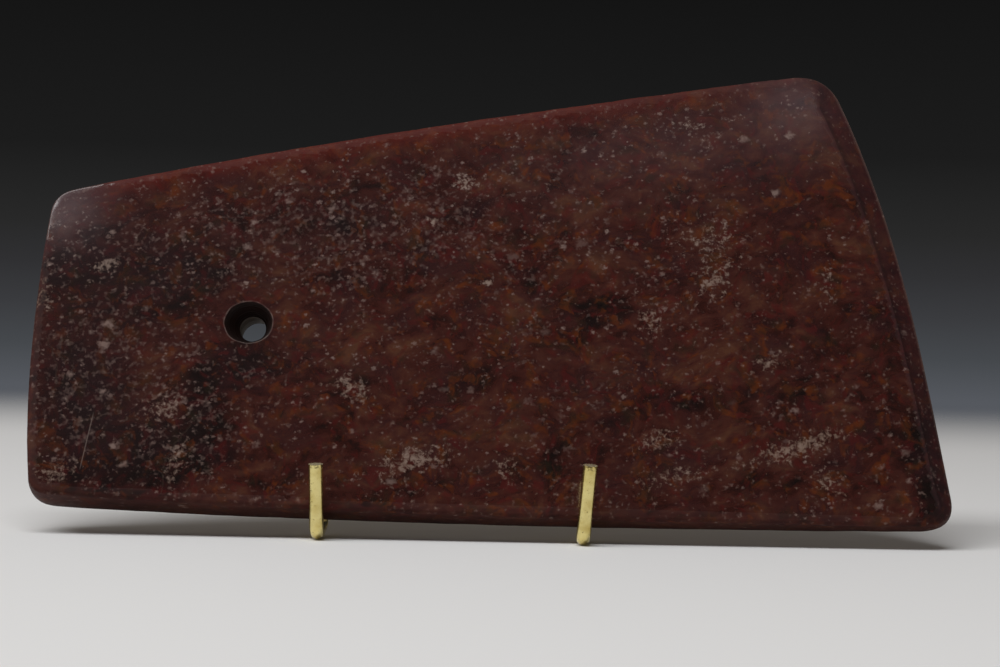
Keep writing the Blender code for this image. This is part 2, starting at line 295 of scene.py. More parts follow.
@dataclass(frozen=True)
class PolishedHardstone:
    """Metamorphic hardstone, ground and polished.

    The polish leaves a soft gloss on a red-brown ground with black-green clouds. Pale
    grains stand a little rougher in it, and burial has etched frosty patches.
    """

    grains: tuple[Grains, ...] = (
        Grains(5.9, 1.25, 1.5, 0.0, 1.0),
        Grains(2.6, 0.66, 0.9, 31.0, 0.9),
        Grains(1.4, 0.42, 0.55, 57.0, 0.75),
    )
    flow_degrees: float = 12.0
    grade: Grade = Grade.POLISHED

    def material(self, foot: Vector) -> bpy.types.Material:
        """Builds the stone.

        Args:
            foot: The blade's back lower edge, in metres.

        Returns:
            The material.
        """
        name, smoothest, dullest, specular = self.grade.value
        made, tree, shader = fresh_material(name)
        masks = {
            zone: add_node(tree, "ShaderNodeAttribute", out="Fac", attribute_name=zone.value)
            for zone in Zone
        }
        place = add_node(tree, "ShaderNodeTexCoord", out="Object")
        # Millimetres along the blade, up its face and out of it.
        blade = add_node(
            tree,
            "ShaderNodeMapping",
            {
                "Vector": place,
                "Location": foot,
                "Rotation": (math.pi / 2 - LEAN_BACK, 0, 0),
                "Scale": (MM, MM, MM),
            },
            vector_type="TEXTURE",
        )
        colour = self.ground(tree, blade, masks)
        pale = self.pale_grains(tree, blade, masks)
        frost = self.frosting(tree, blade, masks)
        # Each layer: its mask, the mask values between which it comes in if not as they
        # are, its colour and how opaque it gets.
        layers = (
            # painted highlight: a crimson lit lip along the top arris
            (masks[Zone.LIP], None, "#5e1b13", 0.5),
            # painted bounce light: the sides lightened
            (masks[Zone.WALL], None, "#4a2a26", 0.16),
            # painted sheen: the hazed upper corners and top tinted grey
            (masks[Zone.WORN], None, "#574347", 0.5),
            (masks[Zone.FACET], (0.1, 0.5), "#331a1e", 0.4),
            # painted dark reflection: a dark line along the bevel's ridge
            (masks[Zone.FACET], (0.72, 1.0), "#140a0a", 0.5),
            (frost, None, "#7a6355", 0.8),
            (pale, None, "#7c6760", 0.85),
            (masks[Zone.CRACK], (0.05, 0.4), "#5e4c42", 0.2),
            (masks[Zone.CRACK], (0.5, 0.85), "#0f0a09", 0.85),
            (masks[Zone.SCRATCH], None, "#746660", 0.62),
            # painted shade: the hole's cone darkened
            (masks[Zone.CONE], None, "#130c0a", 0.9),
            (masks[Zone.BORE], None, "#5a5046", 0.85),
        )
        for mask, span, over, most in layers:
            if span:
                limits = {0: mask, 1: span[0], 2: span[1], 3: 0.0, 4: 1.0}
                mask = add_node(tree, "ShaderNodeMapRange", limits)
            colour = self.mix(tree, mask, colour, over, most)
        tree.links.new(colour, shader.inputs["Base Color"])
        self.gloss(tree, shader, blade, pale, frost, masks, (smoothest, dullest))
        shader.inputs["IOR"].default_value = 1.55
        shader.inputs["Specular IOR Level"].default_value = specular
        return made

    def mix(
        self,
        tree: bpy.types.NodeTree,
        mask: bpy.types.NodeSocket,
        under: bpy.types.NodeSocket,
        over: str,
        most: float,
    ) -> bpy.types.NodeSocket:
        """Lays a colour over another through a mask.

        Args:
            tree: The node tree.
            mask: Where the upper colour lies, 0 to 1.
            under: The lower colour.
            over: The upper colour, as hex.
            most: How opaque it is where the mask is 1.

        Returns:
            The mixed colour.
        """
        share = add_node(
            tree, "ShaderNodeMath", {0: mask, 1: most}, operation="MULTIPLY", use_clamp=True
        )
        return add_node(
            tree, "ShaderNodeMix", {0: share, 6: under, 7: linear(over)}, 2, data_type="RGBA"
        )

    def ground(self, tree: bpy.types.NodeTree, blade: Any, masks: dict[Zone, Any]) -> Any:
        """Mottled ground colour, its clouds drawn out along the stone's flow.

        Args:
            tree: The node tree.
            blade: Blade coordinates in millimetres.
            masks: The vertex masks.

        Returns:
            The colour socket.
        """
        wander = add_node(
            tree, "ShaderNodeTexNoise", {"Vector": blade, "Scale": 1 / 17, "Detail": 3.0}, "Color"
        )
        centred = add_node(
            tree, "ShaderNodeVectorMath", {0: wander, 1: (0.5, 0.5, 0.5)}, operation="SUBTRACT"
        )
        pushed = add_node(
            tree,
            "ShaderNodeVectorMath",
            {0: centred, 1: (14, 14, 14), 2: blade},
            operation="MULTIPLY_ADD",
        )
        flow = add_node(
            tree,
            "ShaderNodeMapping",
            {
                "Vector": pushed,
                "Rotation": (0, 0, math.radians(self.flow_degrees)),
                "Scale": (1.7, 1, 1),
            },
            vector_type="TEXTURE",
        )
        clouds = add_node(
            tree,
            "ShaderNodeTexNoise",
            {"Vector": flow, "Scale": 1 / 13, "Detail": 5.0, "Roughness": 0.6},
        )
        mottle = add_node(
            tree,
            "ShaderNodeTexNoise",
            {"Vector": flow, "Scale": 1 / 3.9, "Detail": 3.0, "Roughness": 0.58},
        )
        tone = add_node(
            tree, "ShaderNodeMath", {0: clouds, 1: 1.2, 2: -0.615}, operation="MULTIPLY_ADD"
        )
        tone = add_node(
            tree, "ShaderNodeMath", {0: mottle, 1: 1.12, 2: tone}, operation="MULTIPLY_ADD"
        )
        tone = add_node(
            tree,
            "ShaderNodeMath",
            {0: masks[Zone.WARM], 1: 0.18, 2: tone},
            operation="MULTIPLY_ADD",
        )
        tone = add_node(
            tree,
            "ShaderNodeMath",
            {0: masks[Zone.DARK], 1: -0.48, 2: tone},
            operation="MULTIPLY_ADD",
        )
        colour = add_node(
            tree,
            "ShaderNodeValToRGB",
            {"Fac": tone},
            stops=[
                (0.16, "#140b09"),
                (0.30, "#230f0c"),
                (0.42, "#31140f"),
                (0.54, "#391a15"),
                (0.68, "#42221a"),
                (0.86, "#4d2e20"),
            ],
        )
        tints = ((flow, PLUM_CLOUDS), (pushed, RUST_CLOUDS), (pushed, CRIMSON_CLOUDS))
        for place, cloud in tints:
            colour = self.clouded(tree, place, colour, cloud)
        colour = self.mix(tree, masks[Zone.PLUM], colour, "#281b1c", 0.5)
        return self.clouded(tree, blade, colour, OLIVE_CLOUDS)

    def clouded(self, tree: bpy.types.NodeTree, place: Any, under: Any, cloud: Cloud) -> Any:
        """Lays clouds of one colour over the ground.

        Args:
            tree: The node tree.
            place: The coordinates that the clouds follow, in millimetres.
            under: The colour below.
            cloud: The clouds.

        Returns:
            The mixed colour.
        """
        look = {
            "Vector": place,
            "Scale": 1 / cloud.spacing_mm,
            "Detail": cloud.detail,
            "Roughness": cloud.roughness,
            "Distortion": cloud.distortion,
        }
        mask = add_node(tree, "ShaderNodeTexNoise", look)
        limits = {0: mask, 1: cloud.starts, 2: cloud.full, 3: 0.0, 4: 1.0}
        mask = add_node(tree, "ShaderNodeMapRange", limits)
        return self.mix(tree, mask, under, cloud.colour, cloud.most)

    def pale_grains(self, tree: bpy.types.NodeTree, blade: Any, masks: dict[Zone, Any]) -> Any:
        """Mask of the pale grains, three sizes over each other.

        Args:
            tree: The node tree.
            blade: Blade coordinates in millimetres.
            masks: The vertex masks.

        Returns:
            The mask socket.
        """
        crowd = add_node(
            tree, "ShaderNodeTexNoise", {"Vector": blade, "Scale": 1 / 9, "Detail": 3.0}
        )
        crowd = add_node(tree, "ShaderNodeMapRange", {0: crowd, 1: 0.36, 2: 0.64, 3: 0.2, 4: 0.85})
        crowd = add_node(
            tree,
            "ShaderNodeMath",
            {0: masks[Zone.SPECKLE], 1: 0.8, 2: crowd},
            operation="MULTIPLY_ADD",
        )
        union = None
        for size in self.grains:
            ragged = add_node(
                tree,
                "ShaderNodeTexNoise",
                {"Vector": blade, "Scale": 0.9 / size.radius_mm, "Detail": 3.0},
                "Color",
            )
            ragged = add_node(
                tree, "ShaderNodeVectorMath", {0: ragged, 1: (0.5, 0.5, 0.5)}, operation="SUBTRACT"
            )
            ragged = add_node(
                tree,
                "ShaderNodeVectorMath",
                {0: ragged, 1: (2 * size.ragged_mm,) * 3, 2: blade},
                operation="MULTIPLY_ADD",
            )
            lain = add_node(
                tree,
                "ShaderNodeMapping",
                {
                    "Vector": ragged,
                    "Location": (size.shift_mm,) * 3,
                    "Rotation": (0, 0, math.radians(self.flow_degrees)),
                    "Scale": (1.4, 1, 1),
                },
                vector_type="TEXTURE",
            )
            cell = add_node(
                tree, "ShaderNodeTexVoronoi", {"Vector": lain, "Scale": 1 / size.spacing_mm}
            )
            luck = add_node(tree, "ShaderNodeSeparateColor", {0: cell.node.outputs["Color"]})
            kept = add_node(tree, "ShaderNodeMath", {0: crowd, 1: luck}, operation="SUBTRACT")
            kept = add_node(
                tree, "ShaderNodeMath", {0: kept, 1: 6.0}, operation="MULTIPLY", use_clamp=True
            )
            girth = add_node(
                tree,
                "ShaderNodeMath",
                {0: luck.node.outputs[1], 1: size.radius_mm, 2: 0.25 * size.radius_mm},
                operation="MULTIPLY_ADD",
            )
            away = add_node(
                tree,
                "ShaderNodeMath",
                {0: cell.node.outputs["Distance"], 1: -size.spacing_mm, 2: girth},
                operation="MULTIPLY_ADD",
            )
            shape = add_node(
                tree,
                "ShaderNodeMath",
                {0: away, 1: 1.5 / size.radius_mm},
                operation="MULTIPLY",
                use_clamp=True,
            )
            faint = add_node(
                tree,
                "ShaderNodeMapRange",
                {0: luck.node.outputs[2], 1: 0.0, 2: 1.0, 3: 0.15, 4: size.clearest},
            )
            shape = add_node(tree, "ShaderNodeMath", {0: shape, 1: faint}, operation="MULTIPLY")
            shape = add_node(tree, "ShaderNodeMath", {0: shape, 1: kept}, operation="MULTIPLY")
            union = shape if union is None else add_node(
                tree, "ShaderNodeMath", {0: union, 1: shape}, operation="MAXIMUM"
            )
        dust = add_node(
            tree,
            "ShaderNodeTexNoise",
            {"Vector": blade, "Scale": 1 / 1.5, "Detail": 1.5, "Roughness": 0.5},
        )
        dust = add_node(
            tree, "ShaderNodeMath", {0: crowd, 1: 0.14, 2: dust}, operation="MULTIPLY_ADD"
        )
        dust = add_node(tree, "ShaderNodeMapRange", {0: dust, 1: 0.7, 2: 0.9, 3: 0.0, 4: 0.32})
        return add_node(tree, "ShaderNodeMath", {0: union, 1: dust}, operation="MAXIMUM")

    def frosting(self, tree: bpy.types.NodeTree, blade: Any, masks: dict[Zone, Any]) -> Any:
        """Mask of the etched patches, a broken net of pale flecks.

        Args:
            tree: The node tree.
            blade: Blade coordinates in millimetres.
            masks: The vertex masks.

        Returns:
            The mask socket.
        """
        net = add_node(
            tree,
            "ShaderNodeTexNoise",
            {
                "Vector": blade,
                "Scale": 1 / 1.5,
                "Detail": 4.0,
                "Roughness": 0.72,
                "Distortion": 0.3,
            },
        )
        spread = add_node(
            tree,
            "ShaderNodeMath",
            {0: masks[Zone.FROST], 1: 0.22, 2: net},
            operation="MULTIPLY_ADD",
        )
        return add_node(tree, "ShaderNodeMapRange", {0: spread, 1: 0.62, 2: 0.82, 3: 0.0, 4: 1.0})

    def gloss(
        self,
        tree: bpy.types.NodeTree,
        shader: bpy.types.Node,
        blade: Any,
        pale: Any,
        frost: Any,
        masks: dict[Zone, Any],
        bounds: tuple[float, float],
    ) -> None:
        """Roughness and fine relief.

        Args:
            tree: The node tree.
            shader: The stone's shader.
            blade: Blade coordinates in millimetres.
            pale: Mask of the pale grains.
            frost: Mask of the etched patches.
            masks: The vertex masks.
            bounds: Lowest and highest roughness of the clean stone.
        """
        wear = add_node(
            tree,
            "ShaderNodeTexNoise",
            {"Vector": blade, "Scale": 1 / 6, "Detail": 6.0, "Roughness": 0.7},
        )
        rough = add_node(
            tree, "ShaderNodeMapRange", {0: wear, 1: 0.3, 2: 0.7, 3: bounds[0], 4: bounds[1]}
        )
        rough = add_node(
            tree, "ShaderNodeMath", {0: frost, 1: 0.3, 2: rough}, operation="MULTIPLY_ADD"
        )
        rough = add_node(
            tree, "ShaderNodeMath", {0: pale, 1: 0.1, 2: rough}, operation="MULTIPLY_ADD"
        )
        for zone, rougher in ((Zone.WORN, 0.1), (Zone.FACET, 0.12), (Zone.ARRIS, 0.2)):
            rough = add_node(
                tree,
                "ShaderNodeMath",
                {0: masks[zone], 1: rougher, 2: rough},
                operation="MULTIPLY_ADD",
            )
        tree.links.new(rough, shader.inputs["Roughness"])
        # The polish's own relief is finer than this; it is drawn coarse enough to show.
        fine = add_node(
            tree,
            "ShaderNodeTexNoise",
            {"Vector": blade, "Scale": 1 / 0.7, "Detail": 3.0, "Roughness": 0.6},
        )
        height = add_node(
            tree, "ShaderNodeMath", {0: pale, 1: -0.5, 2: fine}, operation="MULTIPLY_ADD"
        )
        height = add_node(
            tree, "ShaderNodeMath", {0: frost, 1: -0.4, 2: height}, operation="MULTIPLY_ADD"
        )
        bump = add_node(
            tree, "ShaderNodeBump", {"Height": height, "Distance": 0.014 * MM, "Strength": 0.8}
        )
        tree.links.new(bump, shader.inputs["Normal"])


@dataclass(frozen=True)
class DrawnBrass:
    """Drawn brass rod, bent cold.

    The die leaves fine lines along it, and handling has left a thin brown tarnish in
    patches, heavier at the sheared ends.
    """

    bright: str = "#ecdc96"
    dull: str = "#cbb467"
    tarnish: str = "#4c3c1e"

    def material(self) -> bpy.types.Material:
        """Builds the brass.

        Returns:
            The material.
        """
        made, tree, shader = fresh_material("drawn brass rod")
        along = add_node(tree, "ShaderNodeAttribute", out="Fac", attribute_name="along")
        around = add_node(tree, "ShaderNodeAttribute", out="Fac", attribute_name="around")
        turn = add_node(tree, "ShaderNodeMath", {0: around, 1: 2 * math.pi}, operation="MULTIPLY")
        cosine = add_node(tree, "ShaderNodeMath", {0: turn}, operation="COSINE")
        sine = add_node(tree, "ShaderNodeMath", {0: turn}, operation="SINE")
        drawn = add_node(tree, "ShaderNodeCombineXYZ", {0: cosine, 1: sine, 2: along})
        # Die lines are far finer than this; they are drawn coarse enough to show.
        stretched = add_node(tree, "ShaderNodeMapping", {"Vector": drawn, "Scale": (9, 9, 60)})
        lines = add_node(
            tree,
            "ShaderNodeTexNoise",
            {"Vector": stretched, "Scale": 1.0, "Detail": 4.0, "Roughness": 0.7},
        )
        place = add_node(tree, "ShaderNodeTexCoord", out="Object")
        stain = add_node(
            tree,
            "ShaderNodeTexNoise",
            {"Vector": place, "Scale": 260.0, "Detail": 3.0, "Roughness": 0.55},
        )
        body = add_node(tree, "ShaderNodeMapRange", {0: stain, 1: 0.4, 2: 0.75, 3: 0.0, 4: 1.0})
        colour = add_node(
            tree,
            "ShaderNodeMix",
            {0: body, 6: linear(self.bright), 7: linear(self.dull)},
            2,
            data_type="RGBA",
        )
        end = add_node(
            tree, "ShaderNodeMapRange", {0: along, 1: 0.0, 2: 1.6 * MM, 3: 0.16, 4: 0.0}
        )
        spots = add_node(
            tree,
            "ShaderNodeTexNoise",
            {"Vector": place, "Scale": 1400.0, "Detail": 4.0, "Roughness": 0.7},
        )
        spots = add_node(tree, "ShaderNodeMath", {0: spots, 1: end}, operation="ADD")
        spots = add_node(tree, "ShaderNodeMapRange", {0: spots, 1: 0.6, 2: 0.74, 3: 0.0, 4: 0.85})
        colour = add_node(
            tree,
            "ShaderNodeMix",
            {0: spots, 6: colour, 7: linear(self.tarnish)},
            2,
            data_type="RGBA",
        )
        tree.links.new(colour, shader.inputs["Base Color"])
        rough = add_node(tree, "ShaderNodeMapRange", {0: lines, 1: 0.3, 2: 0.7, 3: 0.16, 4: 0.24})
        rough = add_node(
            tree, "ShaderNodeMath", {0: spots, 1: 0.25, 2: rough}, operation="MULTIPLY_ADD"
        )
        tree.links.new(rough, shader.inputs["Roughness"])
        bump = add_node(
            tree, "ShaderNodeBump", {"Height": lines, "Distance": 0.006 * MM, "Strength": 0.5}
        )
        tree.links.new(bump, shader.inputs["Normal"])
        shader.inputs["Metallic"].default_value = 1.0
        return made


@dataclass(frozen=True)
class BrazeMetal:
    """Silver-brass filler, run in with a torch: paler than the rod, satin, with flux stains."""

    pale: str = "#cdb27a"
    stain: str = "#6a4b2a"

    def material(self) -> bpy.types.Material:
        """Builds the filler metal.

        Returns:
            The material.
        """
        made, tree, shader = fresh_material("brazing filler")
        place = add_node(tree, "ShaderNodeTexCoord", out="Object")
        flux = add_node(
            tree,
            "ShaderNodeTexNoise",
            {"Vector": place, "Scale": 600.0, "Detail": 5.0, "Roughness": 0.65},
        )
        share = add_node(tree, "ShaderNodeMapRange", {0: flux, 1: 0.45, 2: 0.7, 3: 0.0, 4: 0.8})
        colour = add_node(
            tree,
            "ShaderNodeMix",
            {0: share, 6: linear(self.pale), 7: linear(self.stain)},
            2,
            data_type="RGBA",
        )
        tree.links.new(colour, shader.inputs["Base Color"])
        rough = add_node(tree, "ShaderNodeMapRange", {0: flux, 1: 0.3, 2: 0.7, 3: 0.28, 4: 0.5})
        tree.links.new(rough, shader.inputs["Roughness"])
        bump = add_node(
            tree, "ShaderNodeBump", {"Height": flux, "Distance": 0.1 * MM, "Strength": 0.5}
        )
        tree.links.new(bump, shader.inputs["Normal"])
        shader.inputs["Metallic"].default_value = 1.0
        return made


@dataclass(frozen=True)
class TablePaper:
    """Matt white paper sheet, which fades out towards its far edge."""

    colour: str = "#e2e2e2"
    solid_to: float = 400.0
    gone_by: float = 1000.0

    def material(self) -> bpy.types.Material:
        """Builds the paper.

        Returns:
            The material.
        """
        made, tree, shader = fresh_material("matt white paper")
        shader.inputs["Base Color"].default_value = linear(self.colour)
        shader.inputs["Roughness"].default_value = 0.7
        shader.inputs["Specular IOR Level"].default_value = 0.25
        place = add_node(tree, "ShaderNodeTexCoord", out="Object")
        back = add_node(tree, "ShaderNodeSeparateXYZ", {0: place}, "Y")
        left = add_node(
            tree,
            "ShaderNodeMapRange",
            {0: back, 1: self.solid_to * MM, 2: self.gone_by * MM, 3: 1.0, 4: 0.0},
            interpolation_type="SMOOTHSTEP",
        )
        tree.links.new(left, shader.inputs["Alpha"])
        return made


# ------------------------------------------------------------------ the blade


@dataclass(frozen=True)
class Patch:
    """A soft oval patch on the show face, in blade millimetres.

    Attributes:
        along: Its middle, along the blade.
        up: Its middle, up the face.
        length: Half its length.
        width: Half its width.
        turn: How far its length is turned from the blade's, in degrees.
        strength: What it adds at its middle.
    """

    along: float
    up: float
    length: float
    width: float
    turn: float = 0.0
    strength: float = 1.0


PATCHES: dict[Zone, tuple[Patch, ...]] = {
    # rusty clouds
    Zone.WARM: (
        Patch(-31, 46, 10, 7, 0, 1.0),
        Patch(-47, 50, 7, 5, 0, 0.6),
        Patch(19, 31, 18, 12, 10, 0.7),
        Patch(13, 56, 9, 6, 0, 0.6),
        Patch(62, 43, 15, 9, 10, 0.6),
        Patch(88, 66, 11, 14, 0, 0.3),
        Patch(106, 35, 7, 9, 0, 0.7),
        Patch(125, 13, 8, 8, 0, 0.7),
        Patch(-84, 40, 10, 5, 15, 0.4),
        Patch(-16, 108, 9, 4, 10, 0.9),
        Patch(26, 120, 12, 4, 10, 0.5),
        Patch(35, 86, 12, 9, 0, 0.4),
        Patch(72, 112, 38, 14, 10, 0.5),
    ),
    # plum ground towards the butt
    Zone.PLUM: (
        Patch(-104, 66, 26, 26, 0, 0.8),
        Patch(-72, 72, 26, 14, 8, 0.6),
        Patch(-32, 84, 20, 12, 8, 0.5),
        Patch(-108, 33, 16, 22, 0, 0.7),
        Patch(-90, 22, 18, 14, 0, 0.8),
        Patch(-52, 42, 18, 10, 0, 0.5),
    ),
    # hazed by handling, and tinted grey as a painted sheen at the upper corners and along the top
    Zone.WORN: (
        Patch(64, 110, 42, 13, 11, 0.3),
        Patch(97, 126, 13, 13, 0, 0.7),
        Patch(-116.8, 90.5, 15, 15, 0, 1.0),
    ),
    # black-green and plum clouds
    Zone.DARK: (
        Patch(-112, 68, 7, 9, 0, 0.8),
        Patch(-88, 67, 20, 12, 5, 0.75),
        Patch(-104, 26, 9, 17, 10, 1.3),
        Patch(-86, 13, 14, 9, 0, 1.2),
        Patch(-69, 26, 6, 14, -15, 1.1),
        Patch(-58, 41, 16, 6, 5, 0.6),
        Patch(-33, 80, 18, 8, 8, 0.4),
        Patch(3, 88, 12, 3, -20, 0.4),
        Patch(40, 57, 14, 7, 10, 0.7),
        Patch(8, 38, 14, 5, 10, 0.45),
        Patch(66, 33, 16, 4, 5, 0.5),
        Patch(124, 55, 6, 9, 0, 0.7),
        Patch(132, 16, 6, 20, 10, 1.0),
        Patch(40, 16, 16, 4, 12, 0.4),
    ),
    # where the pale grains crowd
    Zone.SPECKLE: (
        Patch(-52, 83, 32, 13, 5, 1.0),
        Patch(-30, 73, 20, 11, 0, 0.6),
        Patch(-4, 88, 14, 11, 0, 0.8),
        Patch(15, 103, 18, 5, 10, 0.6),
        Patch(70, 115, 16, 6, 5, 0.6),
        Patch(-95, 48, 22, 16, 0, 0.8),
        Patch(-104, 22, 16, 16, 0, 0.8),
        Patch(-72, 22, 16, 14, -20, 0.8),
        Patch(-96, 76, 18, 8, 5, 0.5),
        Patch(-40, 62, 14, 8, 0, 0.5),
        Patch(60, 62, 12, 12, 0, 0.5),
        Patch(22, 78, 26, 13, 5, 0.4),
        Patch(8, 52, 22, 9, 0, 0.3),
        # and where they are few
        Patch(100, 104, 26, 28, 0, -0.45),
    ),
    # etched patches
    Zone.FROST: (
        Patch(-100, 69, 4, 2, 10, 1.1),
        Patch(73, 70, 5, 6, 0, 0.9),
        Patch(71, 82, 9, 5, 0, 0.7),
        Patch(-29, 35, 7, 3, -35, 1.0),
        Patch(-11, 14, 11, 4, 15, 1.0),
        Patch(-81, 27, 7, 4, 10, 0.8),
        Patch(-76, 13, 3, 7, -15, 0.8),
        Patch(-109, 8, 7, 3, 0, 0.9),
        Patch(15, 13, 3, 4, 0, 0.9),
        Patch(57, 22, 7, 3, 10, 0.8),
        Patch(96, 21, 15, 3, 22, 1.1),
        Patch(104, 11, 6, 3, -40, 0.8),
        Patch(61, 12, 11, 3, 15, 0.7),
        Patch(55, 57, 4, 5, 0, 0.8),
        Patch(88, 46, 5, 3, 20, 0.8),
        Patch(66, 117, 5, 2, 0, 0.7),
        Patch(105, 70, 3, 6, 0, 0.5),
        Patch(1, 97, 4, 3, 0, 1.0),
        Patch(-7.5, 85, 1.7, 1.4, 0, 1.4),
        Patch(8.5, 67, 2.0, 1.2, 0, 1.3),
        Patch(-116, 58, 3, 6, 0, 0.8),
    ),
}


@dataclass(frozen=True)
class Fissure:
    """A hairline in the show face.

    Attributes:
        zone: CRACK for an open hairline, SCRATCH for a pale score.
        course: Its corners in blade millimetres.
        depth: How deep it is cut, in millimetres.
    """

    zone: Zone
    course: tuple[tuple[float, float], ...]
    depth: float


FISSURES = (
    Fissure(
        Zone.CRACK,
        ((-70, 27), (-73.5, 21.5), (-77, 16.5), (-79.5, 11), (-79.3, 5.5), (-79.6, 2.2)),
        0.03,
    ),
    Fissure(Zone.CRACK, ((-115.2, 47), (-113, 43), (-111.4, 38.5), (-111.2, 33)), 0.03),
    Fissure(Zone.SCRATCH, ((-100, 25), (-101.2, 17), (-102.4, 9)), 0.02),
)


@dataclass
class HardstoneBlade:
    """The axe blade: a ground loft between its two faces, drilled through near the butt.

    Sizes are in millimetres, in blade coordinates: along from butt to cutting edge, up
    from the lower side, and out from the back face to the show face.
    """

    corners: tuple[tuple[float, float], ...] = (
        (-116.1, 2.0), (-116.8, 90.5), (106.5, 136.0), (139.9, 0.0)
    )
    trims: tuple[float, ...] = (5.0, 5.8, 9.7, 9.6)
    swells: tuple[tuple[float, float], ...] = ((4.3, 2.8), (4.2, 2.2), (9.3, 3.8), (2.1, 2.9))
    cutting_side: int = 2
    butt_thickness: float = 17.4
    edge_thickness: float = 9.2
    front_arris: float = 1.4
    back_arris: float = 2.4
    bevel_upper: float = 7.2
    bevel_lower: float = 4.2
    edge_land: float = 2.4
    hole_centre: tuple[float, float] = (-58.0, 53.0)
    hole_drift: float = 1.2
    mouth_width: float = 13.2
    mouth_height: float = 11.9
    waist_diameter: float = 7.6
    back_diameter: float = 9.6
    waist_depth: float = 6.2
    groove_pitch: float = 0.8
    groove_depth: float = 0.07
    groove_wobble: float = 0.09
    front_lip: float = 0.24
    back_lip: float = 0.5
    lip_depth: float = 0.7
    mouth_band: float = 0.3
    step: float = 1.05
    back_step: float = 1.5
    side_samples: int = 400
    corner_samples: int = 80
    arris_rings: int = 8
    wall_rings: int = 10
    hole_sides: int = 96
    crisp_reach: float = 22.0
    fuller_corners: tuple[tuple[int, float], ...] = ((0, 1.0), (3, 0.5))
    fuller_reach: float = 10.0
    worn_corners: tuple[tuple[int, float, float], ...] = ((1, 0.9, 13.0), (2, 0.8, 11.0))
    hairline_step: float = 0.55
    hairline_half_width: float = 0.24
    crack_wander: float = 0.6
    polished_corner_reach: float = 20.5
    lit_lip_reach: float = 4.8
    lit_lip_span: tuple[float, float] = (-108.0, 98.0)
    lit_lip_fades: tuple[float, float] = (8.0, 60.0)
    crease_angle: float = 32.0
    facet_fade: tuple[float, ...] = (1.0, 0.85, 0.7, 0.6, 0.6, 0.6, 0.5, 0.3)
    foot: Vector = Vector((0, 0, 0))

    def side_point(self, side: int, share: np.ndarray) -> np.ndarray:
        """Points on a side of the outline.

        Args:
            side: 0 butt, 1 top, 2 cutting edge, 3 lower side.
            share: Positions from 0 to 1 along it.

        Returns:
            One row of two millimetre values for each share.
        """
        start = np.array(self.corners[side])
        chord = np.array(self.corners[(side + 1) % 4]) - start
        outward = np.array((-chord[1], chord[0])) / np.hypot(*chord)
        first, second = self.swells[side]
        share = np.atleast_1d(share)[:, None]
        swell = 3 * share * (1 - share) ** 2 * first + 3 * share**2 * (1 - share) * second
        return start + share * chord + swell * outward

    def side_ends(self, side: int) -> tuple[float, float]:
        """Shares at which a side leaves its two rounded corners."""
        length = math.dist(self.corners[side], self.corners[(side + 1) % 4])
        return self.trims[side] / length, 1 - self.trims[(side + 1) % 4] / length

    def outline(self) -> tuple[np.ndarray, np.ndarray]:
        """The outline as evenly spaced points, clockwise.

        Returns:
            The points, and each one's share of the cutting bevel.
        """
        points, sharp = [], []
        for side in range(4):
            first, last = self.side_ends(side)
            following = (side + 1) % 4
            arrive = self.side_ends(following)[0]
            here = float(side == self.cutting_side)
            there = float(following == self.cutting_side)
            points.append(self.side_point(side, np.linspace(first, last, self.side_samples)))
            sharp.append(np.full(self.side_samples, here))
            a = self.side_point(side, np.array(last))[0]
            b = self.side_point(following, np.array(arrive))[0]
            along_a = a - self.side_point(side, np.array(last - 0.01))[0]
            along_b = self.side_point(following, np.array(arrive + 0.01))[0] - b
            solved = np.linalg.solve(np.column_stack((along_a, -along_b)), b - a)
            handle = a + solved[0] * along_a
            t = np.linspace(0, 1, self.corner_samples)[1:-1, None]
            points.append((1 - t) ** 2 * a + 2 * t * (1 - t) * handle + t**2 * b)
            sharp.append(here + (there - here) * t[:, 0])
        dense = np.concatenate(points)
        shares = np.concatenate(sharp)
        closed = np.vstack((dense, dense[:1]))
        run = np.concatenate(([0], np.cumsum(np.hypot(*np.diff(closed, axis=0).T))))
        count = round(run[-1] / self.step)
        even = np.linspace(0, run[-1], count, endpoint=False)
        xs = np.interp(even, run, closed[:, 0])
        ys = np.interp(even, run, closed[:, 1])
        return np.column_stack((xs, ys)), np.interp(even, run, np.append(shares, shares[0]))

    def from_corner(self, points: np.ndarray, corner: int) -> np.ndarray:
        """Distance of each point from a corner of the outline, in the face's plane."""
        x, y = self.corners[corner]
        return np.hypot(points[:, 0] - x, points[:, 1] - y)

    def thickness(self, along: np.ndarray) -> np.ndarray:
        """Thickness of the stone at each position along the blade."""
        start, end = self.corners[0][0], self.corners[3][0]
        taper = self.edge_thickness - self.butt_thickness
        return self.butt_thickness + taper * (along - start) / (end - start)

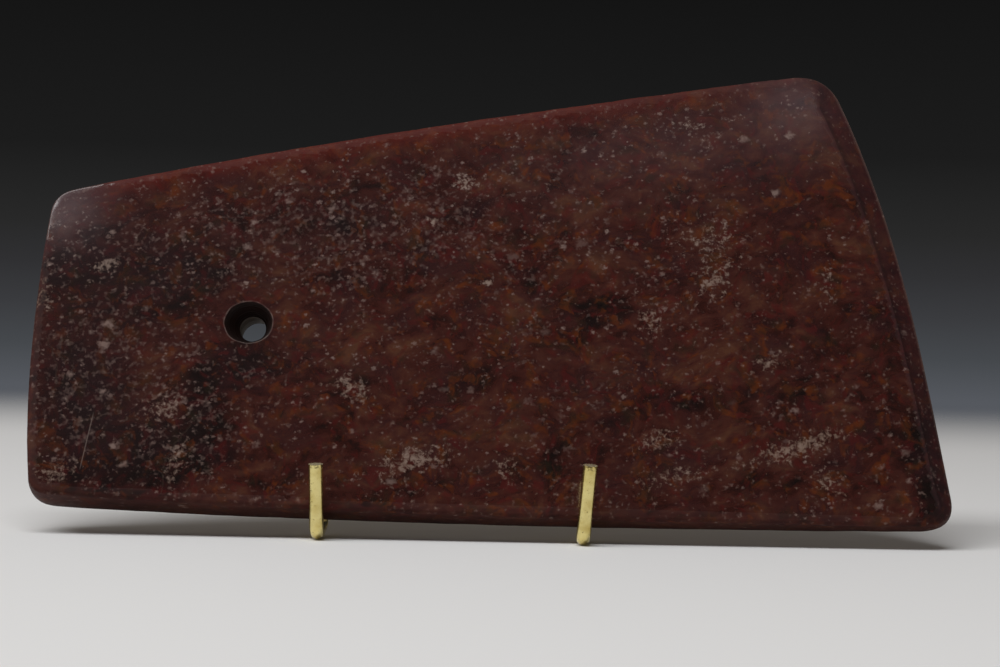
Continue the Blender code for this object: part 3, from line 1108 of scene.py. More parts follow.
    def rim(self) -> list[np.ndarray]:
        """Rings of the loft, from the show face over the rim to the back face.

        Returns:
            One array of points for each ring.
        """
        points, sharp = self.outline()
        tangent = np.roll(points, -1, axis=0) - np.roll(points, 1, axis=0)
        outward = np.column_stack((-tangent[:, 1], tangent[:, 0])) / np.hypot(*tangent.T)[:, None]
        worn = np.array([noise.noise(Vector((x / 9, y / 9, 3.0))) for x, y in points])
        nicked = np.array([noise.noise(Vector((x / 2.2, y / 2.2, 9.0))) for x, y in points])
        front = self.front_arris * (1 + 0.3 * worn + 0.5 * np.clip(nicked - 0.25, 0, 1))
        crisp = self.from_corner(points, 1)
        front *= 1 - 0.65 * np.exp(-((crisp / self.crisp_reach) ** 2))
        back = self.back_arris * (1 + 0.3 * worn)
        width = self.bevel_lower + (self.bevel_upper - self.bevel_lower) * np.clip(
            points[:, 1] / self.corners[2][1], 0, 1
        )
        rings = []
        turns = np.linspace(0, 1, self.arris_rings)
        for arris, from_front, order in ((front, True, turns), (back, False, turns[::-1])):
            for turn in order:
                round_in = arris * (1 - math.sin(turn * math.pi / 2))
                round_down = arris * (1 - math.cos(turn * math.pi / 2))
                inset = round_in + (width * (1 - turn) - round_in) * sharp
                flat = points - outward * inset[:, None]
                thick = self.thickness(flat[:, 0])
                drop = round_down + ((thick - self.edge_land) / 2 * turn - round_down) * sharp
                rings.append(np.column_stack((flat, thick - drop if from_front else drop)))
        upper, lower = rings[self.arris_rings - 1], rings[self.arris_rings]
        fuller = np.zeros(len(points))
        for corner, most in self.fuller_corners:
            fuller += most * np.exp(-((self.from_corner(points, corner) / self.fuller_reach) ** 2))
        bulge = np.column_stack((outward * fuller[:, None], np.zeros(len(points))))
        shares = np.linspace(0, 1, self.wall_rings + 2)[1:-1]
        wall = [
            upper + (lower - upper) * share + bulge * 4 * share * (1 - share) for share in shares
        ]
        return rings[: self.arris_rings] + wall + rings[self.arris_rings :]

    def bore(self) -> list[np.ndarray]:
        """Rings of the drilled hole, from its mouth in the show face to the back face.

        Returns:
            One array of points for each ring.
        """
        thick = float(self.thickness(np.array(self.hole_centre[0])))
        angles = np.linspace(0, 2 * math.pi, self.hole_sides, endpoint=False)
        chips = np.array(
            [noise.noise(Vector((2.4 * math.cos(a), 2.4 * math.sin(a), 5.0))) for a in angles]
        )
        rings = []
        depths = np.concatenate((
            [0.0],
            np.linspace(0, 0.9, 5),
            np.linspace(1.3, thick - 0.9, 34),
            np.linspace(thick - 0.6, thick, 4),
        ))
        for order, depth in enumerate(depths):
            near = max(0.0, 1 - depth / self.waist_depth)
            far = max(0.0, (depth - self.waist_depth) / (thick - self.waist_depth))
            width = self.waist_diameter + (self.mouth_width - self.waist_diameter) * near
            height = self.waist_diameter + (self.mouth_height - self.waist_diameter) * near
            width += (self.back_diameter - self.waist_diameter) * far
            height += (self.back_diameter - self.waist_diameter) * far
            groove = self.groove_depth * math.sin(2 * math.pi * depth / self.groove_pitch)
            groove += self.groove_wobble * noise.noise(Vector((depth / 0.5, 0, 2.0)))
            front_lip = self.front_lip * max(0.0, 1 - depth / self.lip_depth) ** 2
            back_lip = self.back_lip * max(0.0, 1 - (thick - depth) / self.lip_depth) ** 2
            band = self.mouth_band if order == 0 else 0.0
            lip = (front_lip + back_lip) * (1 + 0.9 * chips) + band
            level = thick - depth
            middle = self.hole_centre[0] + self.hole_drift * (thick / 2 - level) / thick
            x = middle + (width / 2 + groove + lip) * np.cos(angles)
            y = self.hole_centre[1] + (height / 2 + groove + lip) * np.sin(angles)
            rings.append(np.column_stack((x, y, np.full(self.hole_sides, level))))
        for ring in rings[:2]:
            ring[:, 2] = self.thickness(ring[:, 0])
        rings[-1][:, 2] = 0.0
        return rings

    def fissure_points(self) -> tuple[np.ndarray, np.ndarray, np.ndarray, np.ndarray]:
        """Points along the hairlines and to both sides of them.

        Returns:
            Positions in the face, depths below it, and the crack and scratch masks.
        """
        places, depths, cracks, scratches = [], [], [], []
        for fissure in FISSURES:
            course = np.array(fissure.course, float)
            run = np.concatenate(([0], np.cumsum(np.hypot(*np.diff(course, axis=0).T))))
            stations = np.arange(0, run[-1], self.hairline_step)
            line = np.column_stack([np.interp(stations, run, course[:, k]) for k in (0, 1)])
            drift = [noise.noise(Vector((s / 1.6, course[0, 0], 1.0))) for s in stations]
            heading = np.gradient(line, axis=0)
            across = np.column_stack((-heading[:, 1], heading[:, 0]))
            across = across / np.hypot(*heading.T)[:, None]
            wander = self.crack_wander if fissure.zone is Zone.CRACK else 0.0
            line += across * np.array(drift)[:, None] * wander
            fade = np.minimum(1, np.minimum(stations, run[-1] - stations) / 3 + 0.3)
            for offset in (-self.hairline_half_width, 0.0, self.hairline_half_width):
                deep = float(offset == 0.0)
                places.append(line + across * offset)
                depths.append(fissure.depth * deep * fade)
                cracks.append(deep * fade * (fissure.zone is Zone.CRACK))
                scratches.append(deep * fade * (fissure.zone is Zone.SCRATCH))
        return tuple(np.concatenate(parts) for parts in (places, depths, cracks, scratches))

    def face_fill(
        self, ring: np.ndarray, mouth: np.ndarray, step: float, lines: np.ndarray
    ) -> np.ndarray:
        """Points that fill a face between its rim, the hole's mouth and any hairlines.

        Args:
            ring: The face's rim.
            mouth: The hole's rim.
            step: Distance between points.
            lines: Points already placed on the face.

        Returns:
            The new points.
        """
        low, high = ring.min(0), ring.max(0)
        rows = np.arange(low[1], high[1], step * 0.866)
        grid = []
        for i, y in enumerate(rows):
            x = np.arange(low[0] + (i % 2) * step / 2, high[0], step)
            grid.append(np.column_stack((x, np.full(len(x), y))))
        points = np.concatenate(grid)
        keep = self.inside(points, ring) & ~self.inside(points, mouth)
        points = points[keep]
        for others, clear in ((ring, 0.75 * step), (mouth, 0.6 * step), (lines, 0.55 * step)):
            if len(others):
                near = np.array([np.min(np.sum((others - p) ** 2, axis=1)) for p in points])
                points = points[near > clear**2]
        return points

    def inside(self, points: np.ndarray, ring: np.ndarray) -> np.ndarray:
        """Tells which points lie inside a closed ring."""
        found = np.zeros(len(points), bool)
        for a, b in zip(ring, np.roll(ring, -1, axis=0)):
            if a[1] == b[1]:
                continue
            spans = (a[1] > points[:, 1]) != (b[1] > points[:, 1])
            crossing = a[0] + (points[:, 1] - a[1]) / (b[1] - a[1]) * (b[0] - a[0])
            found ^= spans & (points[:, 0] < crossing)
        return found

    def triangulate(
        self, ring: np.ndarray, mouth: np.ndarray, fill: np.ndarray
    ) -> list[tuple[int, ...]]:
        """Triangles of one face.

        Args:
            ring: The face's rim.
            mouth: The hole's rim.
            fill: The points between them.

        Returns:
            Triangles that count through ring, mouth and fill in that order.
        """
        points = np.concatenate((ring, mouth, fill))
        n, m = len(ring), len(mouth)
        edges = [(i, (i + 1) % n) for i in range(n)] + [(n + i, n + (i + 1) % m) for i in range(m)]
        made = delaunay_2d_cdt([Vector(p) for p in points], edges, [], 1, 1e-7)
        origin = [found[0] for found in made[3]]
        triangles = np.array([[origin[i] for i in face] for face in made[2]])
        middles = points[triangles].mean(axis=1)
        return [tuple(t) for t in triangles[~self.inside(middles, mouth)]]

    def mesh(self) -> bpy.types.Mesh:
        """Joins rim, faces and hole into one closed mesh, with the stone's masks on it.

        Returns:
            The mesh, in the row frame.
        """
        rings, bore = self.rim(), self.bore()
        count, across = len(rings[0]), len(bore[0])
        lines, depths, cracks, scratches = self.fissure_points()
        no_lines = np.zeros((0, 2))
        front = self.face_fill(rings[0][:, :2], bore[0][:, :2], self.step, lines)
        back = self.face_fill(rings[-1][:, :2], bore[-1][:, :2], self.back_step, no_lines)
        front = np.concatenate((lines, front))
        level = self.thickness(front[:, 0])
        level[: len(lines)] -= depths
        blocks = rings + bore + [
            np.column_stack((front, level)), np.column_stack((back, np.zeros(len(back))))
        ]
        starts = np.concatenate(([0], np.cumsum([len(b) for b in blocks])))
        points = np.concatenate(blocks)
        points[:, 2] -= self.worn(points)
        faces = []
        rim_end, bore_end = len(rings), len(rings) + len(bore)
        for first, last, size in ((0, rim_end, count), (rim_end, bore_end, across)):
            for k in range(first, last - 1):
                a, b = starts[k], starts[k + 1]
                faces += [
                    (a + i, a + (i + 1) % size, b + (i + 1) % size, b + i) for i in range(size)
                ]
        front_index = np.concatenate((
            np.arange(count),
            starts[len(rings)] + np.arange(across),
            starts[-3] + np.arange(len(front)),
        ))
        back_index = np.concatenate((
            starts[len(rings) - 1] + np.arange(count),
            starts[len(rings) + len(bore) - 1] + np.arange(across),
            starts[-2] + np.arange(len(back)),
        ))
        for index, ring, mouth, fill in (
            (front_index, rings[0], bore[0], front),
            (back_index, rings[-1], bore[-1], back),
        ):
            faces += [
                tuple(index[list(t)]) for t in self.triangulate(ring[:, :2], mouth[:, :2], fill)
            ]
        shape = bmesh.new()
        lean = Matrix.Translation(self.foot) @ Matrix.Rotation(math.pi / 2 - LEAN_BACK, 4, "X")
        verts = [shape.verts.new(lean @ (Vector(p) * MM)) for p in points]
        for face in faces:
            shape.faces.new([verts[i] for i in face])
        bmesh.ops.recalc_face_normals(shape, faces=shape.faces)
        for face in shape.faces:
            face.smooth = True
        made = bpy.data.meshes.new("axe_stone")
        shape.to_mesh(made)
        shape.free()
        made.set_sharp_from_angle(angle=math.radians(self.crease_angle))
        self.paint(made, points, starts, len(rings), len(bore), (cracks, scratches))
        return made

    def worn(self, points: np.ndarray) -> np.ndarray:
        """How far handling has worn the show face down at its two upper corners.

        Args:
            points: Points in blade millimetres.

        Returns:
            The loss at each, in millimetres, less towards the back.
        """
        lost = np.zeros(len(points))
        for corner, most, reach in self.worn_corners:
            lost += most * np.exp(-((self.from_corner(points, corner) / reach) ** 2))
        return lost * np.clip(points[:, 2] / self.thickness(points[:, 0]), 0, 1) ** 2

    def paint(
        self,
        made: bpy.types.Mesh,
        points: np.ndarray,
        starts: np.ndarray,
        rings: int,
        bores: int,
        hairlines: tuple[np.ndarray, np.ndarray],
    ) -> None:
        """Writes the masks that the finish reads.

        Args:
            made: The mesh.
            points: Its vertices in blade millimetres.
            starts: Where each block of vertices starts.
            rings: How many blocks make the rim.
            bores: How many blocks make the hole.
            hairlines: Crack and scratch values of the first points of the front fill.
        """
        masks = {zone: np.zeros(len(points)) for zone in Zone}
        for zone, patches in PATCHES.items():
            for patch in patches:
                turn = math.radians(patch.turn)
                x, y = points[:, 0] - patch.along, points[:, 1] - patch.up
                a = (x * math.cos(turn) + y * math.sin(turn)) / patch.length
                b = (-x * math.sin(turn) + y * math.cos(turn)) / patch.width
                masks[zone] += patch.strength * np.exp(-(a**2 + b**2))
        # The back is quieter: its patches fade with depth.
        depth = np.clip(points[:, 2] / self.thickness(points[:, 0]), 0, 1)
        for zone in PATCHES:
            masks[zone] *= 0.25 + 0.75 * depth
        first = starts[rings + bores]
        for zone, values in zip((Zone.CRACK, Zone.SCRATCH), hairlines):
            masks[zone][first : first + len(values)] = values
        hole = slice(starts[rings + 2], starts[rings + bores - 1])
        # The cone's walls are painted dark as shade; the bore past the waist gets its own paler
        # tone.
        past_waist = self.waist_depth - (self.thickness(points[hole, 0]) - points[hole, 2])
        masks[Zone.CONE][hole] = np.clip(past_waist / 0.6 + 1, 0, 1)
        masks[Zone.BORE][hole] = 1 - masks[Zone.CONE][hole]
        # A pale, broken rim around the hole's mouth, palest along its lower side.
        edge = slice(starts[rings + 1], starts[rings + 2])
        masks[Zone.GROUND][edge] = 1.0
        turn = np.arctan2(
            points[edge, 1] - self.hole_centre[1], points[edge, 0] - self.hole_centre[0]
        )
        broken = np.array(
            [noise.noise(Vector((5 * math.cos(a), 5 * math.sin(a), 8.0))) for a in turn]
        )
        masks[Zone.SCRATCH][edge] = np.clip(0.52 - 0.25 * np.sin(turn) + 1.0 * broken, 0.07, 0.9)
        sharp = self.outline()[1]
        last = self.arris_rings - 1
        for k in range(rings):
            here = slice(starts[k], starts[k + 1])
            masks[Zone.ARRIS][here] = math.sin(min(k, last) / last * math.pi) * (1 - sharp)
            away = self.from_corner(points[here], 1)
            polished = np.exp(-((away / self.polished_corner_reach) ** 4)) * (k < last - 1)
            # The first ring takes in every triangle of the show face that touches it, the
            # last ring none of the back's.
            ground = {0: 0.7, rings - 1: 0.2}.get(k, 1.0)
            masks[Zone.GROUND][here] = ground * (1 - polished)
            # The sides, lightened in colour as painted bounce light off the floor.
            masks[Zone.WALL][here] = float(0 < k < rings - 1) * (1 - sharp) * (1 - polished)
            # The bevel; its rings nearest the ridge carry a painted dark reflection.
            masks[Zone.FACET][here] = self.facet_fade[min(k, last)] * (k <= last) * sharp
            masks[Zone.SCRATCH][here] = 0.55 * (k == last) * sharp
        # A painted highlight: a crimson lit lip along the front arris of the top side, fading out
        # towards both ends.
        top = self.side_point(1, np.linspace(0, 1, 120))
        under = np.array([np.sqrt(np.min(np.sum((top - p) ** 2, axis=1))) for p in points[:, :2]])
        (butt_end, edge_end), (fade_in, fade_out) = self.lit_lip_span, self.lit_lip_fades
        reach = np.clip((points[:, 0] - butt_end) / fade_in, 0, 1)
        reach = reach * np.clip((edge_end - points[:, 0]) / fade_out, 0, 1)
        fade = np.exp(-((under / self.lit_lip_reach) ** 2))
        masks[Zone.LIP] = fade * reach * np.clip((depth - 0.8) / 0.12, 0, 1)
        for zone, values in masks.items():
            attribute = made.attributes.new(zone.value, "FLOAT", "POINT")
            attribute.data.foreach_set("value", values.astype(np.float32))

    def relief_tree(self) -> bpy.types.NodeTree:
        """Geometry Nodes tree for what grinding, polish and wear left in the surface.

        Returns:
            The tree.
        """
        tree = geometry_tree(
            "ground and worn relief",
            {
                "Wave length": 0.034,
                "Wave height": 0.00022,
                "Pit spacing": 0.0065,
                "Pit depth": 0.00010,
                "Nick size": 0.0016,
                "Nick depth": 0.0002,
                "Finish": None,
                "Side finish": None,
            },
        )
        given = tree.nodes["Group Input"].outputs
        place = add_node(tree, "GeometryNodeInputPosition")
        waves = add_node(
            tree, "ShaderNodeMath", {0: 1.0, 1: given["Wave length"]}, operation="DIVIDE"
        )
        wave = add_node(
            tree, "ShaderNodeTexNoise", {"Vector": place, "Scale": waves, "Detail": 1.5}
        )
        wave = add_node(tree, "ShaderNodeMath", {0: wave, 1: 0.5}, operation="SUBTRACT")
        push = add_node(
            tree, "ShaderNodeMath", {0: wave, 1: given["Wave height"]}, operation="MULTIPLY"
        )
        pits = add_node(
            tree, "ShaderNodeMath", {0: 1.0, 1: given["Pit spacing"]}, operation="DIVIDE"
        )
        pit = add_node(
            tree,
            "ShaderNodeTexNoise",
            {"Vector": place, "Scale": pits, "Detail": 3.0, "Roughness": 0.6},
        )
        pit = add_node(tree, "ShaderNodeMapRange", {0: pit, 1: 0.6, 2: 0.75, 3: 0.0, 4: 1.0})
        pit = add_node(
            tree, "ShaderNodeMath", {0: pit, 1: given["Pit depth"]}, operation="MULTIPLY"
        )
        push = add_node(tree, "ShaderNodeMath", {0: push, 1: pit}, operation="SUBTRACT")
        nicks = add_node(
            tree, "ShaderNodeMath", {0: 1.0, 1: given["Nick size"]}, operation="DIVIDE"
        )
        nick = add_node(
            tree, "ShaderNodeTexNoise", {"Vector": place, "Scale": nicks, "Detail": 2.0}
        )
        nick = add_node(tree, "ShaderNodeMapRange", {0: nick, 1: 0.5, 2: 0.75, 3: 0.0, 4: 1.0})
        arris = add_node(
            tree, "GeometryNodeInputNamedAttribute", {"Name": Zone.ARRIS.value}, data_type="FLOAT"
        )
        nick = add_node(tree, "ShaderNodeMath", {0: nick, 1: arris}, operation="MULTIPLY")
        nick = add_node(
            tree, "ShaderNodeMath", {0: nick, 1: given["Nick depth"]}, operation="MULTIPLY"
        )
        push = add_node(tree, "ShaderNodeMath", {0: push, 1: nick}, operation="SUBTRACT")
        normal = add_node(tree, "GeometryNodeInputNormal")
        offset = add_node(
            tree, "ShaderNodeVectorMath", {0: normal, "Scale": push}, operation="SCALE"
        )
        moved = add_node(
            tree, "GeometryNodeSetPosition", {"Geometry": given["Geometry"], "Offset": offset}
        )
        real = add_node(tree, "GeometryNodeRealizeInstances", {"Geometry": moved})
        dressed = add_node(
            tree, "GeometryNodeSetMaterial", {"Geometry": real, "Material": given["Finish"]}
        )
        unpolished = None
        for zone in (Zone.GROUND, Zone.CONE, Zone.BORE):
            mask = add_node(
                tree, "GeometryNodeInputNamedAttribute", {"Name": zone.value}, data_type="FLOAT"
            )
            unpolished = mask if unpolished is None else add_node(
                tree, "ShaderNodeMath", {0: unpolished, 1: mask}, operation="ADD"
            )
        unpolished = add_node(
            tree, "ShaderNodeMath", {0: unpolished, 1: 0.2}, operation="GREATER_THAN"
        )
        dressed = add_node(
            tree,
            "GeometryNodeSetMaterial",
            {"Geometry": dressed, "Selection": unpolished, "Material": given["Side finish"]},
        )
        add_node(tree, "NodeGroupOutput", {"Geometry": dressed})
        return tree

    def build(self) -> bpy.types.Object:
        """Makes the finished blade.

        Returns:
            The blade.
        """
        finishes = {
            "Finish": PolishedHardstone().material(self.foot),
            "Side finish": PolishedHardstone(grade=Grade.GROUND).material(self.foot),
        }
        raw = link_piece("axe_stone_raw", self.mesh())
        mesh = grown_mesh(raw, self.relief_tree(), finishes, "axe_stone")
        return finished_piece("axe_stone", mesh, "axe_blade")


# ------------------------------------------------------------------ the stand


@dataclass
class WireStand:
    """Easel of bent and brazed brass rod. Sizes are in millimetres."""

    rod_diameter: float = 4.0
    bend_radius: float = 4.0
    side_spacing: float = 73.0
    arm_splay: float = 1.8
    prong_heights: tuple[float, float] = (21.2, 22.4)
    prong_forward: float = 7.1
    upright_length: float = 84.0
    top_bar_from_end: float = 8.0
    top_bar_overhang: float = 4.0
    rear_leg_reach: float = 76.0
    blade_foot_back: float = 15.3
    blade_foot_height: float = 4.5
    blade_settle: float = 0.28
    prong_lean_out: tuple[float, float] = (1.0, 4.5)
    arm_rises: tuple[float, float] = (0.6, 0.0)
    bend_steps: int = 24
    leg_end_gap: float = 0.2
    bead_from_bar: float = 2.3
    leg_bead: tuple[float, float, float] = (1.25, 1.25, 0.75)
    bar_bead: tuple[float, float, float] = (1.15, 1.15, 0.6)
    stand_in_gap: float = 0.3
    sides: int = 40

    def __post_init__(self) -> None:
        """Finds the stand's place from its foot bar."""
        low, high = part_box("stand_foot_bar")
        middle = (low + high) / 2
        self.place = Vector((middle.x, middle.y - self.rear_leg_reach * MM, 0)) / MM

    def blade_foot(self) -> Vector:
        """Back lower edge of the settled blade, in metres."""
        foot = (self.place + Vector((0, self.blade_foot_back, self.blade_foot_height))) * MM
        return foot - Vector((0, 0, self.blade_settle * MM))

    def side_corners(self, side: Side) -> list[Vector]:
        """Corners of a side rod's centre line: prong end, prong foot, heel, upright end."""
        sign = side.value
        radius = self.rod_diameter / 2
        which = side is Side.RIGHT
        lean_out, rise = self.prong_lean_out[which], self.arm_rises[which]
        foot = Vector((sign * self.side_spacing / 2, 0, radius))
        up = self.prong_heights[which] - radius
        end = foot + Vector((
            sign * up * math.tan(math.radians(lean_out)),
            -up * math.tan(math.radians(self.prong_forward)),
            up,
        ))
        behind = Vector((0, self.blade_foot_back, self.blade_foot_height))
        behind -= OUT_OF_THE_FACE * (radius + self.stand_in_gap)
        heel = behind - UP_THE_LEAN * ((behind.z - radius - rise) / UP_THE_LEAN.z)
        heel.x = foot.x + sign * heel.y * math.tan(math.radians(self.arm_splay))
        return [end, foot, heel, heel + UP_THE_LEAN * self.upright_length]

    def bent(self, corners: list[Vector]) -> list[Vector]:
        """Rounds the inner corners of a centre line.

        Args:
            corners: The line's corners.

        Returns:
            Its points, with an arc at each inner corner.
        """
        path = [corners[0]]
        for before, corner, after in zip(corners, corners[1:], corners[2:]):
            towards = (before - corner).normalized()
            away = (after - corner).normalized()
            half = towards.angle(away) / 2
            trim = self.bend_radius / math.tan(half)
            centre = corner + (towards + away).normalized() * (self.bend_radius / math.sin(half))
            start = corner + towards * trim - centre
            axis = start.cross(corner + away * trim - centre).normalized()
            across = axis.cross(start)
            turn = math.pi - 2 * half
            for i in range(self.bend_steps + 1):
                angle = turn * i / self.bend_steps
                path.append(centre + start * math.cos(angle) + across * math.sin(angle))
        return path + [corners[-1]]

    def rod_tree(self) -> bpy.types.NodeTree:
        """Geometry Nodes tree that draws round rod along a centre line.

        Returns:
            The tree.
        """
        tree = geometry_tree("drawn rod", {"Rod radius": 0.002, "Rod sides": 40, "Finish": None})
        given = tree.nodes["Group Input"].outputs
        length = add_node(tree, "GeometryNodeSplineParameter", out="Length")
        line = add_node(
            tree,
            "GeometryNodeStoreNamedAttribute",
            {"Geometry": given["Geometry"], "Name": "along", "Value": length},
            data_type="FLOAT",
            domain="POINT",
        )
        ring = add_node(
            tree,
            "GeometryNodeCurvePrimitiveCircle",
            {"Resolution": given["Rod sides"], "Radius": given["Rod radius"]},
        )
        share = add_node(tree, "GeometryNodeSplineParameter", out="Factor")
        ring = add_node(
            tree,
            "GeometryNodeStoreNamedAttribute",
            {"Geometry": ring, "Name": "around", "Value": share},
            data_type="FLOAT",
            domain="POINT",
        )
        rod = add_node(
            tree,
            "GeometryNodeCurveToMesh",
            {"Curve": line, "Profile Curve": ring, "Fill Caps": True},
        )
        smooth = add_node(
            tree, "GeometryNodeSetShadeSmooth", {"Geometry": rod, "Shade Smooth": True}
        )
        real = add_node(tree, "GeometryNodeRealizeInstances", {"Geometry": smooth})
        dressed = add_node(
            tree, "GeometryNodeSetMaterial", {"Geometry": real, "Material": given["Finish"]}
        )
        add_node(tree, "NodeGroupOutput", {"Geometry": dressed})
        return tree

    def rod(
        self, name: str, path: list[Vector], node: str, flared: bool = False
    ) -> bpy.types.Object:
        """Draws one rod.

        Args:
            name: The piece's name.
            path: Its centre line in millimetres.
            node: The CAD node that it stands for.
            flared: Whether its first end was spread by the shears.

        Returns:
            The rod.
        """
        heading = (path[1] - path[0]).normalized()
        tail = (path[-2] - path[-1]).normalized()
        swell = 1.07 if flared else 1.0
        head = [(0.0, 0.86 * swell), (0.05, 0.94 * swell), (0.2, swell), (0.8, swell), (1.3, 1.0)]
        ends = [(1.3, 1.0), (0.2, 1.0), (0.05, 0.94), (0.0, 0.86)]
        points = [(path[0] + heading * d, r) for d, r in head]
        points += [(p, 1.0) for p in path[1:-1]]
        points += [(path[-1] + tail * d, r) for d, r in ends]
        curve = bpy.data.curves.new(name, "CURVE")
        curve.dimensions = "3D"
        spline = curve.splines.new("POLY")
        spline.points.add(len(points) - 1)
        for point, (spot, radius) in zip(spline.points, points):
            point.co = (*((self.place + spot) * MM), 1)
            point.radius = radius
        mesh = grown_mesh(
            link_piece(name + "_line", curve),
            self.tree,
            {
                "Rod radius": self.rod_diameter / 2 * MM,
                "Rod sides": self.sides,
                "Finish": self.brass,
            },
            name,
        )
        mesh.set_sharp_from_angle(angle=math.radians(50))
        return finished_piece(name, mesh, node)

    def bead_tree(self) -> bpy.types.NodeTree:
        """Geometry Nodes tree that sets a bead of filler at each joint.

        Returns:
            The tree.
        """
        tree = geometry_tree(
            "braze beads", {"Bead radius": 0.0022, "Run height": 0.0004, "Finish": None}
        )
        given = tree.nodes["Group Input"].outputs
        bead = add_node(
            tree, "GeometryNodeMeshIcoSphere", {"Radius": given["Bead radius"], "Subdivisions": 4}
        )
        spread = add_node(
            tree,
            "GeometryNodeInputNamedAttribute",
            {"Name": "spread"},
            data_type="FLOAT_VECTOR",
            out=0,
        )
        lean = add_node(
            tree,
            "GeometryNodeInputNamedAttribute",
            {"Name": "lean"},
            data_type="FLOAT_VECTOR",
            out=0,
        )
        turned = add_node(tree, "FunctionNodeAlignRotationToVector", {"Vector": lean}, axis="Z")
        beads = add_node(
            tree,
            "GeometryNodeInstanceOnPoints",
            {"Points": given["Geometry"], "Instance": bead, "Scale": spread, "Rotation": turned},
        )
        real = add_node(tree, "GeometryNodeRealizeInstances", {"Geometry": beads})
        place = add_node(tree, "GeometryNodeInputPosition")
        run = add_node(
            tree, "ShaderNodeTexNoise", {"Vector": place, "Scale": 420.0, "Detail": 2.0}
        )
        run = add_node(tree, "ShaderNodeMath", {0: run, 1: 0.5}, operation="SUBTRACT")
        run = add_node(
            tree, "ShaderNodeMath", {0: run, 1: given["Run height"]}, operation="MULTIPLY"
        )
        normal = add_node(tree, "GeometryNodeInputNormal")
        offset = add_node(
            tree, "ShaderNodeVectorMath", {0: normal, "Scale": run}, operation="SCALE"
        )
        uneven = add_node(tree, "GeometryNodeSetPosition", {"Geometry": real, "Offset": offset})
        smooth = add_node(
            tree, "GeometryNodeSetShadeSmooth", {"Geometry": uneven, "Shade Smooth": True}
        )
        dressed = add_node(
            tree, "GeometryNodeSetMaterial", {"Geometry": smooth, "Material": given["Finish"]}
        )
        add_node(tree, "NodeGroupOutput", {"Geometry": dressed})
        return tree

    def beads(self, joints: list[tuple[Vector, Vector, Vector]]) -> bpy.types.Object:
        """Runs filler metal into the joints.

        Args:
            joints: For each, its place in millimetres, its axis, and its spread along
                and across that axis.

        Returns:
            The beads, as one piece.
        """
        mesh = bpy.data.meshes.new("braze_points")
        mesh.from_pydata([(self.place + place) * MM for place, _, _ in joints], [], [])
        for label, column in (("lean", 1), ("spread", 2)):
            attribute = mesh.attributes.new(label, "FLOAT_VECTOR", "POINT")
            attribute.data.foreach_set("vector", [v for joint in joints for v in joint[column]])
        made = grown_mesh(
            link_piece("braze_points", mesh),
            self.bead_tree(),
            {"Finish": BrazeMetal().material()},
            "stand_braze",
        )
        return finished_piece("stand_braze", made)

    def build(self) -> list[bpy.types.Object]:
        """Makes the whole stand.

        Returns:
            Its pieces.
        """
        self.brass = DrawnBrass().material()
        self.tree = self.rod_tree()
        pieces = []
        for side in Side:
            name = f"stand_side_rod_{side.name.lower()}"
            pieces.append(
                self.rod(name + "_drawn", self.bent(self.side_corners(side)), name, flared=True)
            )
        corners = self.side_corners(Side.RIGHT)
        bar = corners[
            3
        ] - UP_THE_LEAN * self.top_bar_from_end - OUT_OF_THE_FACE * self.rod_diameter
        half = Vector((corners[2].x + self.top_bar_overhang, 0, 0))
        bar.x = 0
        foot = Vector((0, self.rear_leg_reach, self.rod_diameter / 2))
        pieces.append(self.rod("stand_top_bar_drawn", [bar - half, bar + half], "stand_top_bar"))
        pieces.append(
            self.rod("stand_foot_bar_drawn", [foot - half, foot + half], "stand_foot_bar")
        )
        joints = []
        for side in Side:
            across = Vector((side.value * corners[2].x, 0, 0))
            top, low = bar + across, foot + across
            along = (low - top).normalized()
            node = f"stand_rear_leg_{side.name.lower()}"
            tuck = along * (self.rod_diameter / 2 - self.leg_end_gap)
            pieces.append(self.rod(node + "_drawn", [top + tuck, low - tuck], node))
            for end in (top + along * self.bead_from_bar, low - along * self.bead_from_bar):
                joints.append((end, along, Vector(self.leg_bead)))
            touch = top + OUT_OF_THE_FACE * self.rod_diameter / 2
            joints.append((touch, OUT_OF_THE_FACE, Vector(self.bar_bead)))
        pieces.append(self.beads(joints))
        return pieces


# ------------------------------------------------------------------ the studio


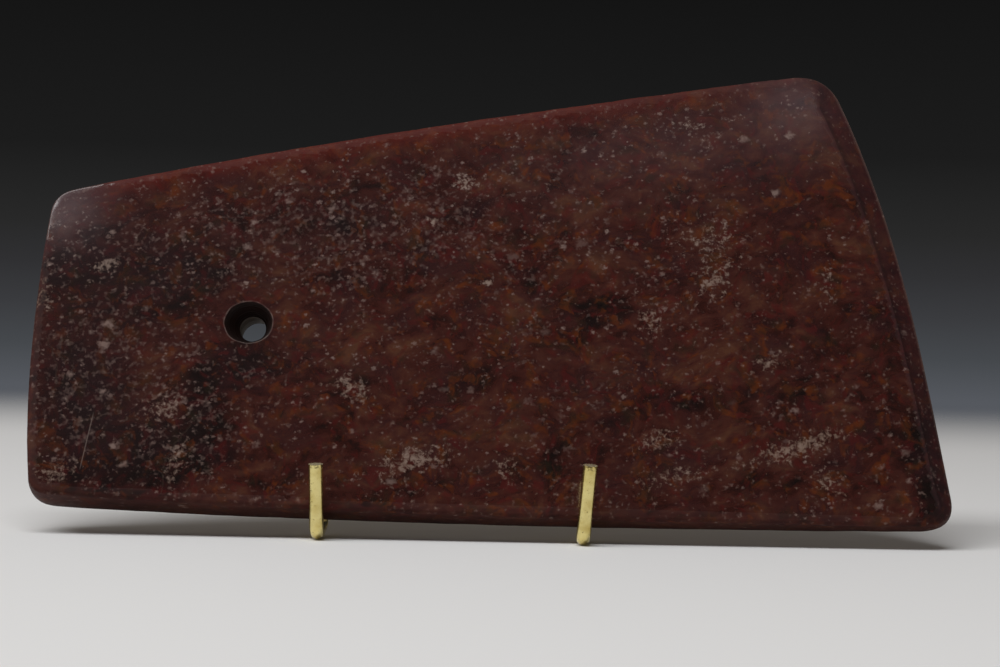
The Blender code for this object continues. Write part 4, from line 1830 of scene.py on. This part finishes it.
@dataclass
class Studio:
    """Table, light and camera. Sizes are in millimetres and angles in degrees."""

    table_back: float = 1010.0
    table_front: float = 2600.0
    table_half_width: float = 2400.0
    light_height: float = 2200.0
    light_front: float = -1580.0
    light_back: float = -450.0
    light_left: float = -2800.0
    light_right: float = 450.0
    light_power: float = 76.5
    room_ahead: str = "#38383a"
    room_beside: str = "#d2cdc6"
    room_low: str = "#948f8a"
    room_behind: str = "#92877b"
    camera_place: tuple[float, float, float] = (16.96, -652.64, 64.22)
    camera_down: float = 0.6
    camera_yaw: float = 1.3
    camera_roll: float = 1.1
    lens_length: float = 81.18
    sensor_width: float = 36.0

    def table(self) -> bpy.types.Object:
        """Lays the table.

        Returns:
            The table.
        """
        shape = bmesh.new()
        w, front, back = (
            v * MM for v in (self.table_half_width, self.table_front, self.table_back)
        )
        corners = ((-w, -front, 0), (w, -front, 0), (w, back, 0), (-w, back, 0))
        shape.faces.new([shape.verts.new(c) for c in corners])
        mesh = bpy.data.meshes.new("table")
        shape.to_mesh(mesh)
        shape.free()
        mesh.materials.append(TablePaper().material())
        piece = link_piece("table", mesh)
        return piece

    def lights(self) -> None:
        """Hangs one large soft box over the table in a dark room."""
        box = bpy.data.lights.new("soft_box", "AREA")
        box.shape = "RECTANGLE"
        box.size = (self.light_right - self.light_left) * MM
        box.size_y = (self.light_back - self.light_front) * MM
        box.energy = self.light_power
        lamp = link_piece("soft_box", box)
        lamp.visible_camera = False
        middle = Vector(
            (self.light_left + self.light_right, self.light_front + self.light_back, 0)
        ) / 2
        lamp.location = (middle + Vector((0, 0, self.light_height))) * MM
        world = bpy.data.worlds.new("dark room")
        world.use_nodes = True
        tree = world.node_tree
        heading = add_node(tree, "ShaderNodeTexCoord", out="Generated")
        split = add_node(tree, "ShaderNodeSeparateXYZ", {0: heading}, "Z")
        level = add_node(tree, "ShaderNodeMapRange", {0: split, 1: -0.05, 2: 0.15, 3: 0.0, 4: 1.0})
        backdrop = add_node(
            tree,
            "ShaderNodeValToRGB",
            {"Fac": level},
            stops=[
                (0.07, "#55585e"),
                (0.16, "#45484c"),
                (0.25, "#3a3b3e"),
                (0.34, "#303032"),
                (0.43, "#282828"),
                (0.60, "#1c1c1c"),
                (0.95, "#141414"),
            ],
        )
        above = add_node(tree, "ShaderNodeMapRange", {0: split, 1: 0.25, 2: 0.55, 3: 0.0, 4: 1.0})
        backdrop = add_node(
            tree,
            "ShaderNodeMix",
            {0: above, 6: backdrop, 7: linear(self.room_behind)},
            2,
            data_type="RGBA",
        )
        front = add_node(
            tree,
            "ShaderNodeMapRange",
            {0: split.node.outputs["Y"], 1: 0.9, 2: 0.1, 3: 0.0, 4: 1.0},
        )
        beside = add_node(
            tree,
            "ShaderNodeMapRange",
            {0: split.node.outputs["X"], 1: -0.35, 2: -0.95, 3: 0.0, 4: 1.0},
        )
        room = add_node(
            tree,
            "ShaderNodeMix",
            {0: beside, 6: linear(self.room_ahead), 7: linear(self.room_beside)},
            2,
            data_type="RGBA",
        )
        low = add_node(tree, "ShaderNodeMath", {0: split}, operation="ABSOLUTE")
        low = add_node(tree, "ShaderNodeMapRange", {0: low, 1: 0.2, 2: 0.4, 3: 1.0, 4: 0.0})
        room = add_node(
            tree, "ShaderNodeMix", {0: low, 6: room, 7: linear(self.room_low)}, 2, data_type="RGBA"
        )
        colour = add_node(
            tree, "ShaderNodeMix", {0: front, 6: backdrop, 7: room}, 2, data_type="RGBA"
        )
        tree.links.new(colour, tree.nodes["Background"].inputs["Color"])
        bpy.context.scene.world = world

    def camera(self) -> None:
        """Sets a long lens almost level with the table, a little to the right."""
        angles = (self.camera_down, self.camera_yaw, self.camera_roll)
        down, yaw, roll = (math.radians(angle) for angle in angles)
        ahead = Vector(
            (-math.sin(yaw) * math.cos(down), math.cos(yaw) * math.cos(down), -math.sin(down))
        )
        level = Vector((math.cos(yaw), math.sin(yaw), 0))
        above = level.cross(ahead)
        right = level * math.cos(roll) + above * math.sin(roll)
        up = above * math.cos(roll) - level * math.sin(roll)
        lens = bpy.data.cameras.new("camera")
        lens.lens = self.lens_length
        lens.sensor_width = self.sensor_width
        made = link_piece("camera", lens)
        turn = Matrix((right, up, -ahead)).transposed().to_4x4()
        made.matrix_world = Matrix.Translation(Vector(self.camera_place) * MM) @ turn
        bpy.context.scene.camera = made

    def build(self) -> None:
        """Makes the studio."""
        self.table()
        self.lights()
        self.camera()
        bpy.context.scene.view_settings.view_transform = "Standard"


def main() -> None:
    """Builds the axe, its stand and the studio."""
    logging.basicConfig(level=logging.INFO, format="%(name)s: %(message)s")
    stand = WireStand()
    for piece in stand.build():
        LOG.info("%s: %d faces", piece.name, len(piece.data.polygons))
    blade = HardstoneBlade(foot=stand.blade_foot())
    piece = blade.build()
    LOG.info("%s: %d faces", piece.name, len(piece.data.polygons))
    Studio().build()


if __name__ == "__main__":
    main()
